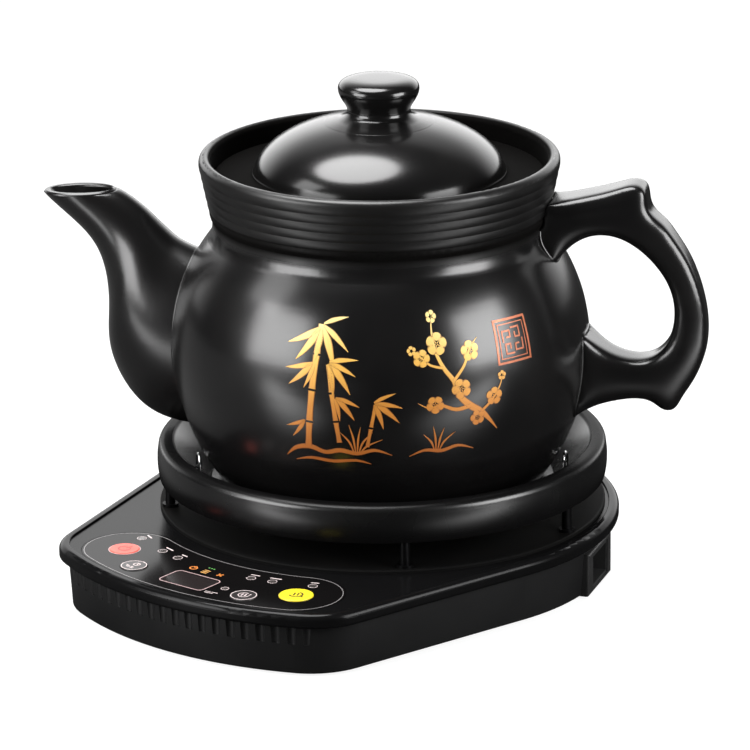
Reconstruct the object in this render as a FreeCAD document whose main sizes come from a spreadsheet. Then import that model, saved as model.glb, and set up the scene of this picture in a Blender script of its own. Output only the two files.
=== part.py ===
import FreeCAD, Part
import math
import operator
import os

import Sketcher
from FreeCAD import Placement, Rotation, Vector

# A split electric pot for decocting herbs: a glazed clay pot with a spout, a handle and a
# lift-off lid stands in a heated dish, and the dish stands on a low base with a control panel.
#
# Frame: millimetres, Z up, origin on the pot's axis at the surface that the feet stand on.
# The base's nose, which carries the panel, points to -Y.

os.makedirs("parts", exist_ok=True)
doc = FreeCAD.newDocument("medicine_pot")


# ---------------------------------------------------------------------------- driving sizes

DRIVING_SIZES = {
    # clay pot, heights above its own foot
    "half_turn": 180,
    "pot_turn": 28,
    "belly_radius": 109,
    "belly_height": 71,
    "belly_lower_bend": 115,
    "belly_upper_bend": 93,
    "neck_radius": 87,
    "neck_bend": 12,
    "collar_foot": 139.5,
    "collar_step": 0.5,
    "collar_ring_depth": 0.35,
    "rim_height": 172,
    "rim_radius": 93.5,
    "lip_height": 3.2,
    "mouth_radius": 87.2,
    "clay_wall": 6,
    "foot_edge": 4,
    "ledge_height": 158,
    "ledge_radius": 74,
    "ledge_thickness": 4,
    "mouth_draft": 1,
    "strainer_hole_radius": 2.6,
    "strainer_pitch": 8.5,
    "strainer_height": 86,
    # spout, measured out from the pot's axis
    "spout_wall": 4.2,
    "spout_root_width": 26,
    "spout_mouth_reach": 159.5,
    "spout_mouth_height": 145.5,
    "spout_mouth_half_length": 19.2,
    "spout_mouth_half_width": 12.4,
    # handle
    "handle_reach": 171.5,
    "handle_top": 162.6,
    "handle_depth": 31,
    "handle_waist_depth": 26.7,
    "handle_tip_depth": 19,
    "handle_edge": 2.2,
    "handle_hole_edge": 3.6,
    # lid, heights above its own seat
    "lid_fit": 1.4,
    "lid_brim": 6,
    "lid_skirt_fit": 1.2,
    "lid_skirt_depth": 6,
    "lid_wall": 5.5,
    "dome_radius": 65.8,
    "dome_foot": 10.6,
    "dome_height": 34,
    "dome_shoulder": 13,
    "knob_radius": 20.8,
    "knob_neck_radius": 18,
    "knob_foot_radius": 26,
    "knob_height": 18.4,
    "knob_roll": 5,
    "knob_crown": 1,
    # base outline
    "back_radius": 127,
    "back_shift": 4,
    "nose_reach": 182.5,
    "side_slope": 14,
    "nose_corner": 34,
    "shell_corner": 42,
    "foot_height": 1,
    "foot_radius": 8,
    "foot_circle": 95,
    "deck_height": 34.5,
    "skirt_height": 7.5,
    "skirt_edge": 3.2,
    "rim_width": 5.5,
    "field_drop": 1,
    "deck_wall": 2.5,
    "shell_inset": 3.6,
    "shell_draft_run": 1.9,
    "shell_wall": 3,
    "shell_fit": 0.2,
    "flute_radius": 3,
    "flute_depth": 1.8,
    "flute_pitch": 2.6,
    "flute_length": 10,
    "flute_count": 21,
    "vent_count": 7,
    "vent_near": 50,
    "vent_width": 3,
    "vent_length": 40,
    "vent_pitch": 8,
    # heated dish
    "heater_opening": 60,
    "shield_radius": 117.3,
    "shield_thickness": 2,
    "dish_sheet": 1.6,
    "dish_lower_edge": 50,
    "dish_crest": 69.6,
    "dish_outer_radius": 117.4,
    "dish_crest_radius": 110.4,
    "dish_crest_land": 3.1,
    "dish_crest_bend": 4.2,
    "dish_bulge_bend": 40,
    "dish_floor": 46.5,
    "dish_floor_radius": 90,
    "dish_hole_radius": 73,
    "plate_top": 50,
    "plate_radius": 79,
    "plate_flange_fit": 0.2,
    "plate_underside": 42.5,
    "element_ring_radius": 52,
    "element_tube_radius": 3.4,
    "element_gap_angle": 24,
    "element_foot": 30,
    "bushing_wall": 1.5,
    "sensor_radius": 5,
    "sensor_height": 12,
    "cutout_radius": 2,
    "cutout_length": 12,
    "cutout_place": 20,
    "cutout_clip_leg": 2,
    "mica_thickness": 0.8,
    "mica_margin": 3.2,
    "post_circle": 112.4,
    "post_radius": 2.6,
    "post_foot_radius": 4.2,
    "post_screw_bite": 8,
    "clip_circle": 97.4,
    "clip_width": 10,
    "clip_wire": 0.9,
    "clip_top": 65,
    # control panel
    "panel_inner": 125.6,
    "panel_outer": 175.1,
    "panel_span": 21.5,
    "panel_thickness": 0.8,
    "panel_fit": 0.3,
    "window_circle": 157.3,
    "window_length": 27,
    "window_width": 16,
    "start_button_circle": 153,
    "start_button_angle": 21.8,
    "red_button_radius": 7.8,
    "yellow_button_radius": 8.8,
    "side_button_circle": 162.5,
    "side_button_angle": 12.9,
    "side_button_radius": 7,
    "button_rise": 0.5,
    "button_fit": 0.3,
    "button_flange": 1.2,
    "button_stem_radius": 1.6,
    "button_travel": 0.6,
    "window_lamp_angle": 8,
    "lamp_circle": 138.2,
    "lamp_radius": 1.7,
    "lamp_fit": 0.1,
    "lamp_chip": 1,
    "board_thickness": 1.6,
    "control_board_height": 22,
    "control_board_inner": 131,
    "control_board_outer": 168,
    "switch_body": 6,
    "switch_height": 3.5,
    "plunger_rise": 0.3,
    "plunger_gap": 0.1,
    "pillar_radius": 3,
    "rear_pillar_circle": 136,
    "rear_pillar_angle": 4,
    "side_pillar_circle": 147,
    "side_pillar_angle": 27,
    "buzzer_circle": 141,
    "buzzer_angle": 11,
    "buzzer_radius": 5,
    "buzzer_height": 6,
    "ribbon_width": 12,
    "ribbon_thickness": 1,
    "ribbon_bend": 420,
    "ribbon_plug_depth": 6,
    "ribbon_plug_height": 6,
    # power side
    "power_board_length": 104,
    "power_board_width": 52,
    "power_board_y": 34,
    "power_board_height": 10,
    "terminal_height": 9,
    "terminal_pitch": 12,
    "terminal_place": -24,
    "terminal_row": -14,
    "connector_place": 46,
    "connector_length": 8,
    "connector_width": 16,
    "connector_height": 8,
    "transformer_length": 30,
    "transformer_width": 26,
    "transformer_height": 16,
    "transformer_x": 2,
    "transformer_y": 4,
    "relay_length": 19,
    "relay_width": 15,
    "relay_height": 15,
    "relay_x": 29,
    "relay_y": 12,
    "sink_length": 20,
    "sink_back": 2,
    "sink_height": 16,
    "sink_x": 31,
    "sink_y": -18,
    "sink_fin": 1.2,
    "sink_fin_depth": 9,
    "sink_fin_count": 5,
    "capacitor_radius": 5,
    "capacitor_height": 13,
    "capacitor_x": -40,
    "capacitor_y": 13,
    "capacitor_pitch": 13,
    "wire_radius": 1.3,
    "wire_bend": 3.5,
    "wire_level": 25.5,
    "inlet_turn": 19.6,
    "inlet_face": 122,
    "inlet_depth": 22,
    "inlet_width": 41,
    "inlet_shift": -8,
    "inlet_top": 24,
    "inlet_edge": 1.5,
    "socket_wall": 1.5,
    "socket_width": 24,
    "socket_height": 15,
    "socket_depth": 17,
    "socket_recess": 0.6,
    "pin_spacing": 7,
    "pin_step": 1.6,
    "pin_width": 2,
    "pin_height": 4,
    "pin_length": 10,
    # fasteners
    "screw_radius": 1.5,
    "screw_head_radius": 2.8,
    "screw_head_height": 2,
    "boss_radius": 4,
    "boss_split": 18,
    "screw_bite": 8,
    "head_recess": 3,
    "screw_circle": 101,
    "front_screw_circle": 127,
    "front_screw_angle": 38,
    "small_fit": 0.1,
}

sheet = doc.addObject("Spreadsheet::Sheet", "sizes")
for row, (alias, number) in enumerate(DRIVING_SIZES.items(), start=1):
    sheet.set(f"A{row}", alias)
    sheet.set(f"B{row}", str(number))
    sheet.setAlias(f"B{row}", alias)
doc.recompute()


# ---------------------------------------------------------------------------- sizes in formulas

class Size:
    """A length or angle: its present value, and the expression that ties it to the sheet."""

    def __init__(self, value, text):
        self.value = float(value)
        self.text = text

    def __add__(self, other):
        return combine(self, "+", other)

    def __radd__(self, other):
        return combine(other, "+", self)

    def __sub__(self, other):
        return combine(self, "-", other)

    def __rsub__(self, other):
        return combine(other, "-", self)

    def __mul__(self, other):
        return combine(self, "*", other)

    def __rmul__(self, other):
        return combine(other, "*", self)

    def __truediv__(self, other):
        return combine(self, "/", other)

    def __neg__(self):
        return combine(0, "-", self)


OPERATIONS = {
    "+": operator.add,
    "-": operator.sub,
    "*": operator.mul,
    "/": operator.truediv,
}


def as_size(number):
    if isinstance(number, Size):
        return number
    return Size(number, f"({number})")


def combine(left, sign, right):
    left = as_size(left)
    right = as_size(right)
    return Size(OPERATIONS[sign](left.value, right.value), f"({left.text} {sign} {right.text})")


def root(size):
    return Size(math.sqrt(size.value), f"sqrt({size.text})")


def cosine(angle):
    angle = as_size(angle)
    return Size(math.cos(math.radians(angle.value)), f"cos({angle.text})")


def sine(angle):
    angle = as_size(angle)
    return Size(math.sin(math.radians(angle.value)), f"sin({angle.text})")


def arctangent(slope):
    return Size(math.degrees(math.atan(slope.value)), f"atan({slope.text})")


class SheetSizes:
    """Hands out each size of the sheet by its alias."""

    def __getattr__(self, alias):
        return Size(sheet.get(alias), f"sizes.{alias}")


size = SheetSizes()
ZERO = as_size(0)


def bind(thing, **properties):
    """Tie properties of an object to sizes; a double underscore stands for a dot."""
    for name, value in properties.items():
        thing.setExpression(name.replace("__", "."), as_size(value).text)


def polar(radius, angle):
    """Plan coordinates of a point at a radius and angle about the Z axis."""
    return radius * cosine(angle), radius * sine(angle)


# ---------------------------------------------------------------------------- sketches

def tie_point(sketch, geometry, position):
    """Hold one point of a sketch at its coordinates, given as sizes."""
    def tie(x, y):
        here = sketch.getPoint(geometry, position)
        for kind, value, target in (("DistanceX", here.x, x), ("DistanceY", here.y, y)):
            index = sketch.addConstraint(Sketcher.Constraint(kind, geometry, position, value))
            sketch.setExpression(f"Constraints[{index}]", as_size(target).text)
    return tie


def tie_radius(sketch, geometry, radius):
    radius = as_size(radius)
    index = sketch.addConstraint(Sketcher.Constraint("Radius", geometry, radius.value))
    sketch.setExpression(f"Constraints[{index}]", radius.text)


def draw_loop(sketch, corners):
    """A closed outline. Each corner is (x, y), or (x, y, bend) where an arc leaves the corner:
    the bend is its radius, and its sign is + where the arc turns left and - where it turns right.
    """
    count = len(corners)
    edges = []
    for index, corner in enumerate(corners):
        start = Vector(as_size(corner[0]).value, as_size(corner[1]).value, 0)
        following = corners[(index + 1) % count]
        end = Vector(as_size(following[0]).value, as_size(following[1]).value, 0)
        if len(corner) == 2:
            edges.append((sketch.addGeometry(Part.LineSegment(start, end)), 1, 2))
            continue
        bend = as_size(corner[2]).value
        radius = abs(bend)
        chord = end - start
        left = Vector(-chord.y, chord.x, 0).normalize()
        rise = math.sqrt(max(radius ** 2 - (chord.Length / 2) ** 2, 0))
        centre = (start + end) * 0.5 + left * math.copysign(rise, bend)
        first, last = (start, end) if bend > 0 else (end, start)
        angles = [math.atan2(point.y - centre.y, point.x - centre.x) for point in (first, last)]
        if angles[1] < angles[0]:
            angles[1] += 2 * math.pi
        circle = Part.Circle(centre, Vector(0, 0, 1), radius)
        geometry = sketch.addGeometry(Part.ArcOfCircle(circle, *angles))
        edges.append((geometry, 1, 2) if bend > 0 else (geometry, 2, 1))
    for index, (geometry, _, end_position) in enumerate(edges):
        next_geometry, next_start, _ = edges[(index + 1) % count]
        sketch.addConstraint(Sketcher.Constraint("Coincident", geometry, end_position,
                                                 next_geometry, next_start))
    for (geometry, start_position, _), corner in zip(edges, corners):
        tie_point(sketch, geometry, start_position)(corner[0], corner[1])
        if len(corner) == 3:
            bend = as_size(corner[2])
            tie_radius(sketch, geometry, bend if bend.value > 0 else -bend)


def draw_circle(sketch, x, y, radius):
    centre = Vector(as_size(x).value, as_size(y).value, 0)
    circle = Part.Circle(centre, Vector(0, 0, 1), as_size(radius).value)
    geometry = sketch.addGeometry(circle)
    tie_point(sketch, geometry, 3)(x, y)
    tie_radius(sketch, geometry, radius)


def rectangle(x0, y0, x1, y1):
    return [(x0, y0), (x1, y0), (x1, y1), (x0, y1)]


def new_sketch(body, role, offset=None):
    """A sketch on one of the body's origin planes, moved along the plane's normal."""
    plane = next(item for item in body.Origin.OriginFeatures if item.Role == role)
    sketch = body.newObject("Sketcher::SketchObject", f"{body.Name}_sketch")
    sketch.AttachmentSupport = (plane, [""])
    sketch.MapMode = "FlatFace"
    if offset is not None:
        bind(sketch, AttachmentOffset__Base__z=offset)
    return sketch


def fill(sketch, loops):
    for loop in loops:
        if isinstance(loop, tuple):
            draw_circle(sketch, *loop)
        else:
            draw_loop(sketch, loop)


def new_body(name):
    return doc.addObject("PartDesign::Body", name)


def pad(body, bottom, height, *loops, role="XY_Plane"):
    """Raise loops (corner lists, or circles as (x, y, radius)) from a level upwards."""
    sketch = new_sketch(body, role, bottom)
    fill(sketch, loops)
    feature = body.newObject("PartDesign::Pad", f"{body.Name}_pad")
    feature.Profile = sketch
    bind(feature, Length=height)
    body.Tip = feature
    return feature


def pocket(body, level, depth, *loops, upwards=False, role="XY_Plane"):
    """Cut loops from a level downwards, or upwards where that is asked for."""
    sketch = new_sketch(body, role, level)
    fill(sketch, loops)
    feature = body.newObject("PartDesign::Pocket", f"{body.Name}_pocket")
    feature.Profile = sketch
    feature.Reversed = upwards
    bind(feature, Length=depth)
    body.Tip = feature
    return feature


def turned(name, *loops):
    """A solid of revolution about Z; the loops are given as (radius, height) corners."""
    body = new_body(name)
    sketch = new_sketch(body, "XZ_Plane")
    fill(sketch, loops)
    feature = body.newObject("PartDesign::Revolution", f"{name}_turning")
    feature.Profile = sketch
    feature.ReferenceAxis = (sketch, ["V_Axis"])
    feature.Angle = 360
    body.Tip = feature
    return body


def round_edges(body, radius, wanted):
    """Fillet the edges of the body's present shape that the test picks out."""
    doc.recompute()
    tip = body.Tip
    names = [f"Edge{number}" for number, edge in enumerate(tip.Shape.Edges, start=1) if wanted(edge)]
    feature = body.newObject("PartDesign::Fillet", f"{body.Name}_rounding")
    feature.Base = (tip, names)
    bind(feature, Radius=radius)
    body.Tip = feature
    return feature


def at_level(edge, level, reach=0):
    """Whether an edge lies flat at a level, further out than a reach from the axis."""
    box = edge.BoundBox
    flat = abs(box.ZMin - level) < 0.01 and abs(box.ZMax - level) < 0.01
    point = edge.valueAt(edge.FirstParameter)
    return flat and math.hypot(point.x, point.y) > reach


# ---------------------------------------------------------------------------- plain solids

def stand(thing, x=0, y=0, z=0, turn=None):
    """Place an object, with its place tied to sizes."""
    thing.Placement = Placement(Vector(0, 0, 0), Rotation(Vector(0, 0, 1), 0))
    bind(thing, Placement__Base__x=x, Placement__Base__y=y, Placement__Base__z=z)
    if turn is not None:
        bind(thing, Placement__Rotation__Angle=turn)
    return thing


def rod(name, radius, bottom, height, x=0, y=0):
    thing = doc.addObject("Part::Cylinder", name)
    bind(thing, Radius=radius, Height=height)
    return stand(thing, x, y, bottom)


def block(name, length, width, height, x=0, y=0, z=0, turn=None):
    """A box centred on x and y in its own frame, turned about the Z axis through (x, y)."""
    thing = doc.addObject("Part::Box", name)
    bind(thing, Length=length, Width=width, Height=height)
    turn = as_size(0 if turn is None else turn)
    length, width = as_size(length), as_size(width)
    corner_x = x - cosine(turn) * length / 2 + sine(turn) * width / 2
    corner_y = y - sine(turn) * length / 2 - cosine(turn) * width / 2
    return stand(thing, corner_x, corner_y, z, turn)


def fuse(name, things):
    thing = doc.addObject("Part::MultiFuse", name)
    thing.Shapes = things
    return thing


def group(name, things):
    thing = doc.addObject("Part::Compound", name)
    thing.Links = things
    return thing


def cut(name, base, tool):
    thing = doc.addObject("Part::Cut", name)
    thing.Base = base
    thing.Tool = tool
    return thing


def feature(name, shape, placement=None):
    thing = doc.addObject("Part::Feature", name)
    thing.Shape = shape
    if placement is not None:
        thing.Placement = placement
    return thing


PIECES = {}


def piece(name, thing):
    """Register a finished sub-part under the name of its node."""
    thing.Label = name
    PIECES[name] = thing
    return thing


# ---------------------------------------------------------------------------- clay pot

POT_SEAT = size.plate_top


def belly_point(bend, height):
    """Radius of the belly at a height, on the arc with the given bend."""
    drop = height - size.belly_height
    return size.belly_radius - bend + root(bend * bend - drop * drop)


def neck_arc(offset):
    """Joint of the upper belly and the neck, for a skin set in from the outer one: the radius
    and height where the arcs meet, and the height where the neck turns upright."""
    belly_bend = size.belly_upper_bend - offset
    neck_bend = size.neck_bend + offset
    belly_axis = size.belly_radius - size.belly_upper_bend
    neck_axis = size.neck_radius + size.neck_bend
    reach = belly_bend + neck_bend
    run = neck_axis - belly_axis
    rise = root(reach * reach - run * run)
    share = belly_bend / reach
    return belly_axis + run * share, size.belly_height + rise * share, size.belly_height + rise


def belly_outline(outer=True):
    """The outer skin from the foot to the foot of the collar, as corners going up."""
    foot_radius = belly_point(size.belly_lower_bend, ZERO)
    meet_radius, meet_height, neck_height = neck_arc(ZERO)
    return [
        (foot_radius, ZERO, size.belly_lower_bend),
        (size.belly_radius, size.belly_height, size.belly_upper_bend),
        (meet_radius, meet_height, -size.neck_bend),
        (size.neck_radius, neck_height),
    ]


COLLAR_RINGS = 6
STRAINER_ROWS = ((-2, 3), (-1, 4), (0, 5), (1, 4), (2, 3))


def make_pot_body():
    """Thrown body: round belly, ringed collar, and inside the mouth a ledge that holds the lid."""
    foot_radius = belly_point(size.belly_lower_bend, ZERO)
    collar_radius = size.neck_radius + size.collar_step
    collar_top = size.rim_height - size.lip_height
    corners = [(ZERO, ZERO)]
    corners += belly_outline()
    corners += [(size.neck_radius, size.collar_foot)]
    ring_height = (collar_top - size.collar_foot) / COLLAR_RINGS
    ring_bend = ring_height * ring_height / (size.collar_ring_depth * 8)
    for ring in range(COLLAR_RINGS):
        radius = collar_radius + (size.rim_radius - collar_radius) * (ring / COLLAR_RINGS)
        corners.append((radius, size.collar_foot + ring_height * ring, ring_bend))
    lip_radius = (size.rim_radius - size.mouth_radius) / 2
    inside = size.neck_radius - size.clay_wall
    under_ledge = size.ledge_height - size.ledge_thickness
    corners += [
        (size.rim_radius, collar_top, lip_radius),
        (size.rim_radius - lip_radius, collar_top + lip_radius, lip_radius),
        (size.mouth_radius, collar_top),
        (size.mouth_radius - size.mouth_draft, size.ledge_height),
        (size.ledge_radius, size.ledge_height),
        (size.ledge_radius, under_ledge),
        (inside, under_ledge - (inside - size.ledge_radius)),
    ]
    wall = size.clay_wall
    meet_radius, meet_height, neck_height = neck_arc(wall)
    lower_bend = size.belly_lower_bend - wall
    floor_drop = wall - size.belly_height
    floor_radius = size.belly_radius - size.belly_lower_bend
    floor_radius = floor_radius + root(lower_bend * lower_bend - floor_drop * floor_drop)
    corners += [
        (inside, neck_height, size.neck_bend + wall),
        (meet_radius, meet_height, -(size.belly_upper_bend - wall)),
        (size.belly_radius - wall, size.belly_height, -lower_bend),
        (floor_radius, wall),
        (ZERO, wall),
    ]
    body = turned("pot_body_turned", corners)
    round_edges(body, size.foot_edge, lambda edge: at_level(edge, 0, foot_radius.value - 1))
    # strainer: a cluster of holes through the wall behind the spout
    pitch = size.strainer_pitch
    row_pitch = pitch * sine(size.half_turn / 3)
    holes = []
    for row, count in STRAINER_ROWS:
        for place in range(count):
            across = pitch * (place - (count - 1) / 2)
            holes.append((across, size.strainer_height + row_pitch * row, size.strainer_hole_radius))
    depth = size.belly_radius - size.ledge_radius
    pocket(body, depth / 2 - size.belly_radius, depth, *holes, role="YZ_Plane")
    return stand(body, z=POT_SEAT, turn=size.pot_turn)


def pot_skin_tool():
    """Solid that fills the pot out to its outer skin, for fitting the spout and handle to it."""
    corners = [(ZERO, ZERO)]
    corners += belly_outline()
    clear = size.collar_ring_depth + size.small_fit
    corners += [
        (size.neck_radius, size.collar_foot),
        (size.neck_radius + size.collar_step + clear, size.collar_foot),
        (size.rim_radius + clear, size.rim_height - size.lip_height),
        (size.rim_radius + clear, size.rim_height),
    ]
    corners += [(ZERO, size.rim_height)]
    return turned("pot_skin_tool", corners)


SPOUT_LIP_LEAN = 87.5


def oval(reach, height, lean, half_length, half_width):
    """Closed curve across the spout: its centre, the lean of its long axis from the vertical in
    degrees (towards the pot at its top), and its two half sizes."""
    long_axis = Vector(math.sin(math.radians(lean)), 0, math.cos(math.radians(lean)))
    centre = Vector(-reach, 0, height)
    count = 16
    points = []
    for index in range(count):
        turn = 2 * math.pi * index / count
        along = long_axis * (half_length * math.cos(turn))
        points.append(centre + along + Vector(0, half_width * math.sin(turn), 0))
    curve = Part.BSplineCurve()
    curve.interpolate(Points=points, PeriodicFlag=True,
                      Parameters=[index / count for index in range(count + 1)])
    return curve


def skin_solid(sections):
    """Solid whose side is one smooth surface through closed section curves, with flat ends."""
    last = len(sections) - 1
    stations = [index / last for index in range(last + 1)]
    columns = []
    for poles in zip(*(section.getPoles() for section in sections)):
        column = Part.BSplineCurve()
        column.interpolate(Points=list(poles), Parameters=stations)
        columns.append(column)
    around = sections[0]
    surface = Part.BSplineSurface()
    surface.buildFromPolesMultsKnots(
        [column.getPoles() for column in columns],
        around.getMultiplicities(), columns[0].getMultiplicities(),
        around.getKnots(), columns[0].getKnots(),
        True, False, around.Degree, columns[0].Degree)
    side = surface.toShape()
    ends = [Part.Face(Part.Wire([section.toShape()])) for section in (sections[0], sections[-1])]
    shell = Part.makeShell([side] + ends)
    shell.sewShape()
    solid = Part.makeSolid(shell)
    if solid.Volume < 0:
        solid.reverse()
    return solid


def spout_solid(inset, overrun):
    """The spout's volume, drawn in by an inset and carried past its mouth by an overrun. Each
    section is its centre, back and down from the mouth's, its lean and its two half sizes."""
    reach = size.spout_mouth_reach.value
    top = size.spout_mouth_height.value
    root_width = size.spout_root_width.value
    mouth_length = size.spout_mouth_half_length.value
    mouth_width = size.spout_mouth_half_width.value
    sections = [
        (reach - 75, top - 77, 0, 46, root_width - 2),
        (reach - 61, top - 77, 4, 47.5, root_width),
        (reach - 43, top - 70, 14, 46, root_width - 1),
        (reach - 32, top - 54, 27, 36.5, root_width - 4),
        (reach - 28, top - 37, 31, 26, root_width - 8),
        (reach - 22, top - 20, 45, 17.2, mouth_width + 1.4),
        (reach - 10, top - 7.5, 66, 16.2, mouth_width),
        (reach + overrun, top + overrun, SPOUT_LIP_LEAN, mouth_length, mouth_width),
    ]
    ovals = []
    for centre_reach, height, lean, half_length, half_width in sections:
        ovals.append(oval(centre_reach, height, lean, half_length - inset, half_width - inset))
    return skin_solid(ovals)


def make_spout(skin):
    """Spout luted to the belly, hollow from the strainer to its rounded lip."""
    wall = size.spout_wall.value
    reach = size.spout_mouth_reach.value
    top = size.spout_mouth_height.value
    half_length = size.spout_mouth_half_length.value
    half_width = size.spout_mouth_half_width.value
    lip_steps = ((0, 0), (wall / 6, wall / 12), (wall / 3.5, wall / 4))
    rings = []
    for rise, inset in lip_steps:
        ring = oval(reach, top + rise, SPOUT_LIP_LEAN, half_length - inset, half_width - inset)
        rings.append(Part.Wire([ring.toShape()]))
    lips = [Part.makeLoft(list(pair), True, True) for pair in zip(rings, rings[1:])]
    shape = spout_solid(0, 0).multiFuse(lips)
    shape = shape.cut(skin.Shape).cut(spout_solid(wall, wall))
    rim_edges = [edge for edge in shape.Edges if edge.BoundBox.ZMin > top - 3 and edge.Length > top / 2]
    mouth_edge = min(rim_edges, key=lambda edge: edge.Length)
    shape = shape.makeFillet(wall / 3, [mouth_edge])
    placement = Placement(Vector(0, 0, POT_SEAT.value),
                          Rotation(Vector(0, 0, 1), size.pot_turn.value))
    return feature("pot_spout", shape, placement)


def smooth_loop(points):
    """Closed curve through points given as (reach, height) in the handle's plane."""
    curve = Part.BSplineCurve()
    curve.interpolate(Points=[Vector(reach, 0, height) for reach, height in points],
                      PeriodicFlag=True)
    return Part.Wire([curve.toShape()])


def make_handle(skin):
    """Strap handle with a thumb horn at the top and a spur at the bottom."""
    reach = size.handle_reach.value
    top = size.handle_top.value
    outline = [
        (reach - 101, top - 7.6), (reach - 83, top - 11.1), (reach - 68, top - 8.1),
        (reach - 53, top - 4.4), (reach - 43, top - 1.1), (reach - 36, top),
        (reach - 31.6, top - 3.6), (reach - 31.4, top - 9.6), (reach - 29.5, top - 15.3),
        (reach - 23.5, top - 20.4), (reach - 17.5, top - 27.8), (reach - 11, top - 37.6),
        (reach - 5.5, top - 49.6), (reach - 1.8, top - 62.1), (reach, top - 74.6),
        (reach - 0.6, top - 87.6), (reach - 3.8, top - 98.6), (reach - 8.7, top - 108.1),
        (reach - 13.6, top - 116), (reach - 16.8, top - 121.4), (reach - 21.6, top - 121.6),
        (reach - 27.5, top - 116.8), (reach - 36, top - 115), (reach - 46, top - 116.4),
        (reach - 56, top - 119.2), (reach - 66, top - 124), (reach - 84, top - 132.6),
        (reach - 101, top - 102.6), (reach - 106, top - 57.6),
    ]
    opening = [
        (reach - 84, top - 50.6), (reach - 77.5, top - 42.1), (reach - 69, top - 33.1),
        (reach - 58, top - 28), (reach - 47, top - 28.8), (reach - 36, top - 34.6),
        (reach - 25.5, top - 45.1), (reach - 18.5, top - 58.1), (reach - 17, top - 71.6),
        (reach - 21, top - 85.1), (reach - 30, top - 92.8), (reach - 41, top - 93.6),
        (reach - 52, top - 89.6), (reach - 62, top - 82.1), (reach - 76, top - 70.6),
    ]
    half_depth = size.handle_depth.value / 2
    waist_half = size.handle_waist_depth.value / 2
    tip_half = size.handle_tip_depth.value / 2
    outer_wire = smooth_loop(outline)
    inner_wire = smooth_loop(opening)
    face = Part.Face([outer_wire, inner_wire])
    face.validate()
    shape = face.extrude(Vector(0, 2 * half_depth, 0))
    shape.translate(Vector(0, -half_depth, 0))
    # in plan the strap narrows from the pot to its outer end
    start = size.neck_radius.value / 2
    waist = reach - 45
    end = reach + tip_half
    taper = [
        Vector(start, -half_depth, 0),
        Vector(waist, -waist_half, 0),
        Vector(end, -tip_half, 0),
        Vector(end, tip_half, 0),
        Vector(waist, waist_half, 0),
        Vector(start, half_depth, 0),
    ]
    sides = Part.BSplineCurve()
    sides.interpolate(taper[:3])
    other_sides = Part.BSplineCurve()
    other_sides.interpolate(taper[3:])
    plan = Part.Wire([sides.toShape(), Part.LineSegment(taper[2], taper[3]).toShape(),
                      other_sides.toShape(), Part.LineSegment(taper[5], taper[0]).toShape()])
    column = Part.Face(plan).extrude(Vector(0, 0, size.rim_height.value * 2))
    shape = shape.common(column)
    shape = shape.cut(skin.Shape)
    shape = max(shape.Solids, key=lambda solid: solid.Volume)
    # the finger hole's edges are the shorter pair of long edges, the outline's the longer pair
    for first, edge_radius in ((2, size.handle_hole_edge.value), (0, size.handle_edge.value)):
        long_edges = sorted(shape.Edges, key=lambda edge: -edge.Length)[:4]
        shape = shape.makeFillet(edge_radius, long_edges[first:first + 2])
    placement = Placement(Vector(0, 0, POT_SEAT.value),
                          Rotation(Vector(0, 0, 1), size.pot_turn.value))
    return feature("pot_handle", shape, placement)


# ---------------------------------------------------------------------------- lid

LID_SEAT = POT_SEAT + size.ledge_height


def dome_arcs(inset):
    """The dome's crown and shoulder, set in from the outside: the crown's bend, and the radius
    and height at which the two arcs meet."""
    rise = size.dome_height - size.dome_foot
    reach = size.dome_radius
    shoulder = size.dome_shoulder
    crown = (reach * reach - reach * shoulder * 2 + rise * rise) / ((rise - shoulder) * 2)
    axis_height = size.dome_height - crown
    share = (crown - inset) / (crown - shoulder)
    meet_radius = (reach - shoulder) * share
    meet_height = axis_height + (crown - rise) * share
    return crown - inset, meet_radius, meet_height


def make_lid():
    """Domed lid: a brim that sits on the ledge, and a skirt that keeps it centred."""
    brim_radius = size.mouth_radius - size.lid_fit
    skirt_radius = size.ledge_radius - size.lid_skirt_fit
    skirt_inside = skirt_radius - size.lid_wall
    wall = size.lid_wall
    brim_edge = size.lid_brim / 4
    cove = size.lid_brim / 2
    crown, meet_radius, meet_height = dome_arcs(ZERO)
    inner_crown, inner_radius, inner_height = dome_arcs(wall)
    corners = [
        (ZERO, size.dome_height - wall, -inner_crown),
        (inner_radius, inner_height, -(size.dome_shoulder - wall)),
        (size.dome_radius - wall, size.dome_foot),
        (skirt_inside, wall / 2),
        (skirt_inside, -size.lid_skirt_depth),
        (skirt_radius, -size.lid_skirt_depth),
        (skirt_radius, ZERO),
        (brim_radius, ZERO),
        (brim_radius, size.lid_brim - brim_edge, brim_edge),
        (brim_radius - brim_edge, size.lid_brim),
        (size.dome_radius + cove, size.lid_brim, -cove),
        (size.dome_radius, size.lid_brim + cove),
        (size.dome_radius, size.dome_foot, size.dome_shoulder),
        (meet_radius, meet_height, crown),
        (ZERO, size.dome_height),
    ]
    return stand(turned("lid_turned", corners), z=LID_SEAT, turn=size.pot_turn)


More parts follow.
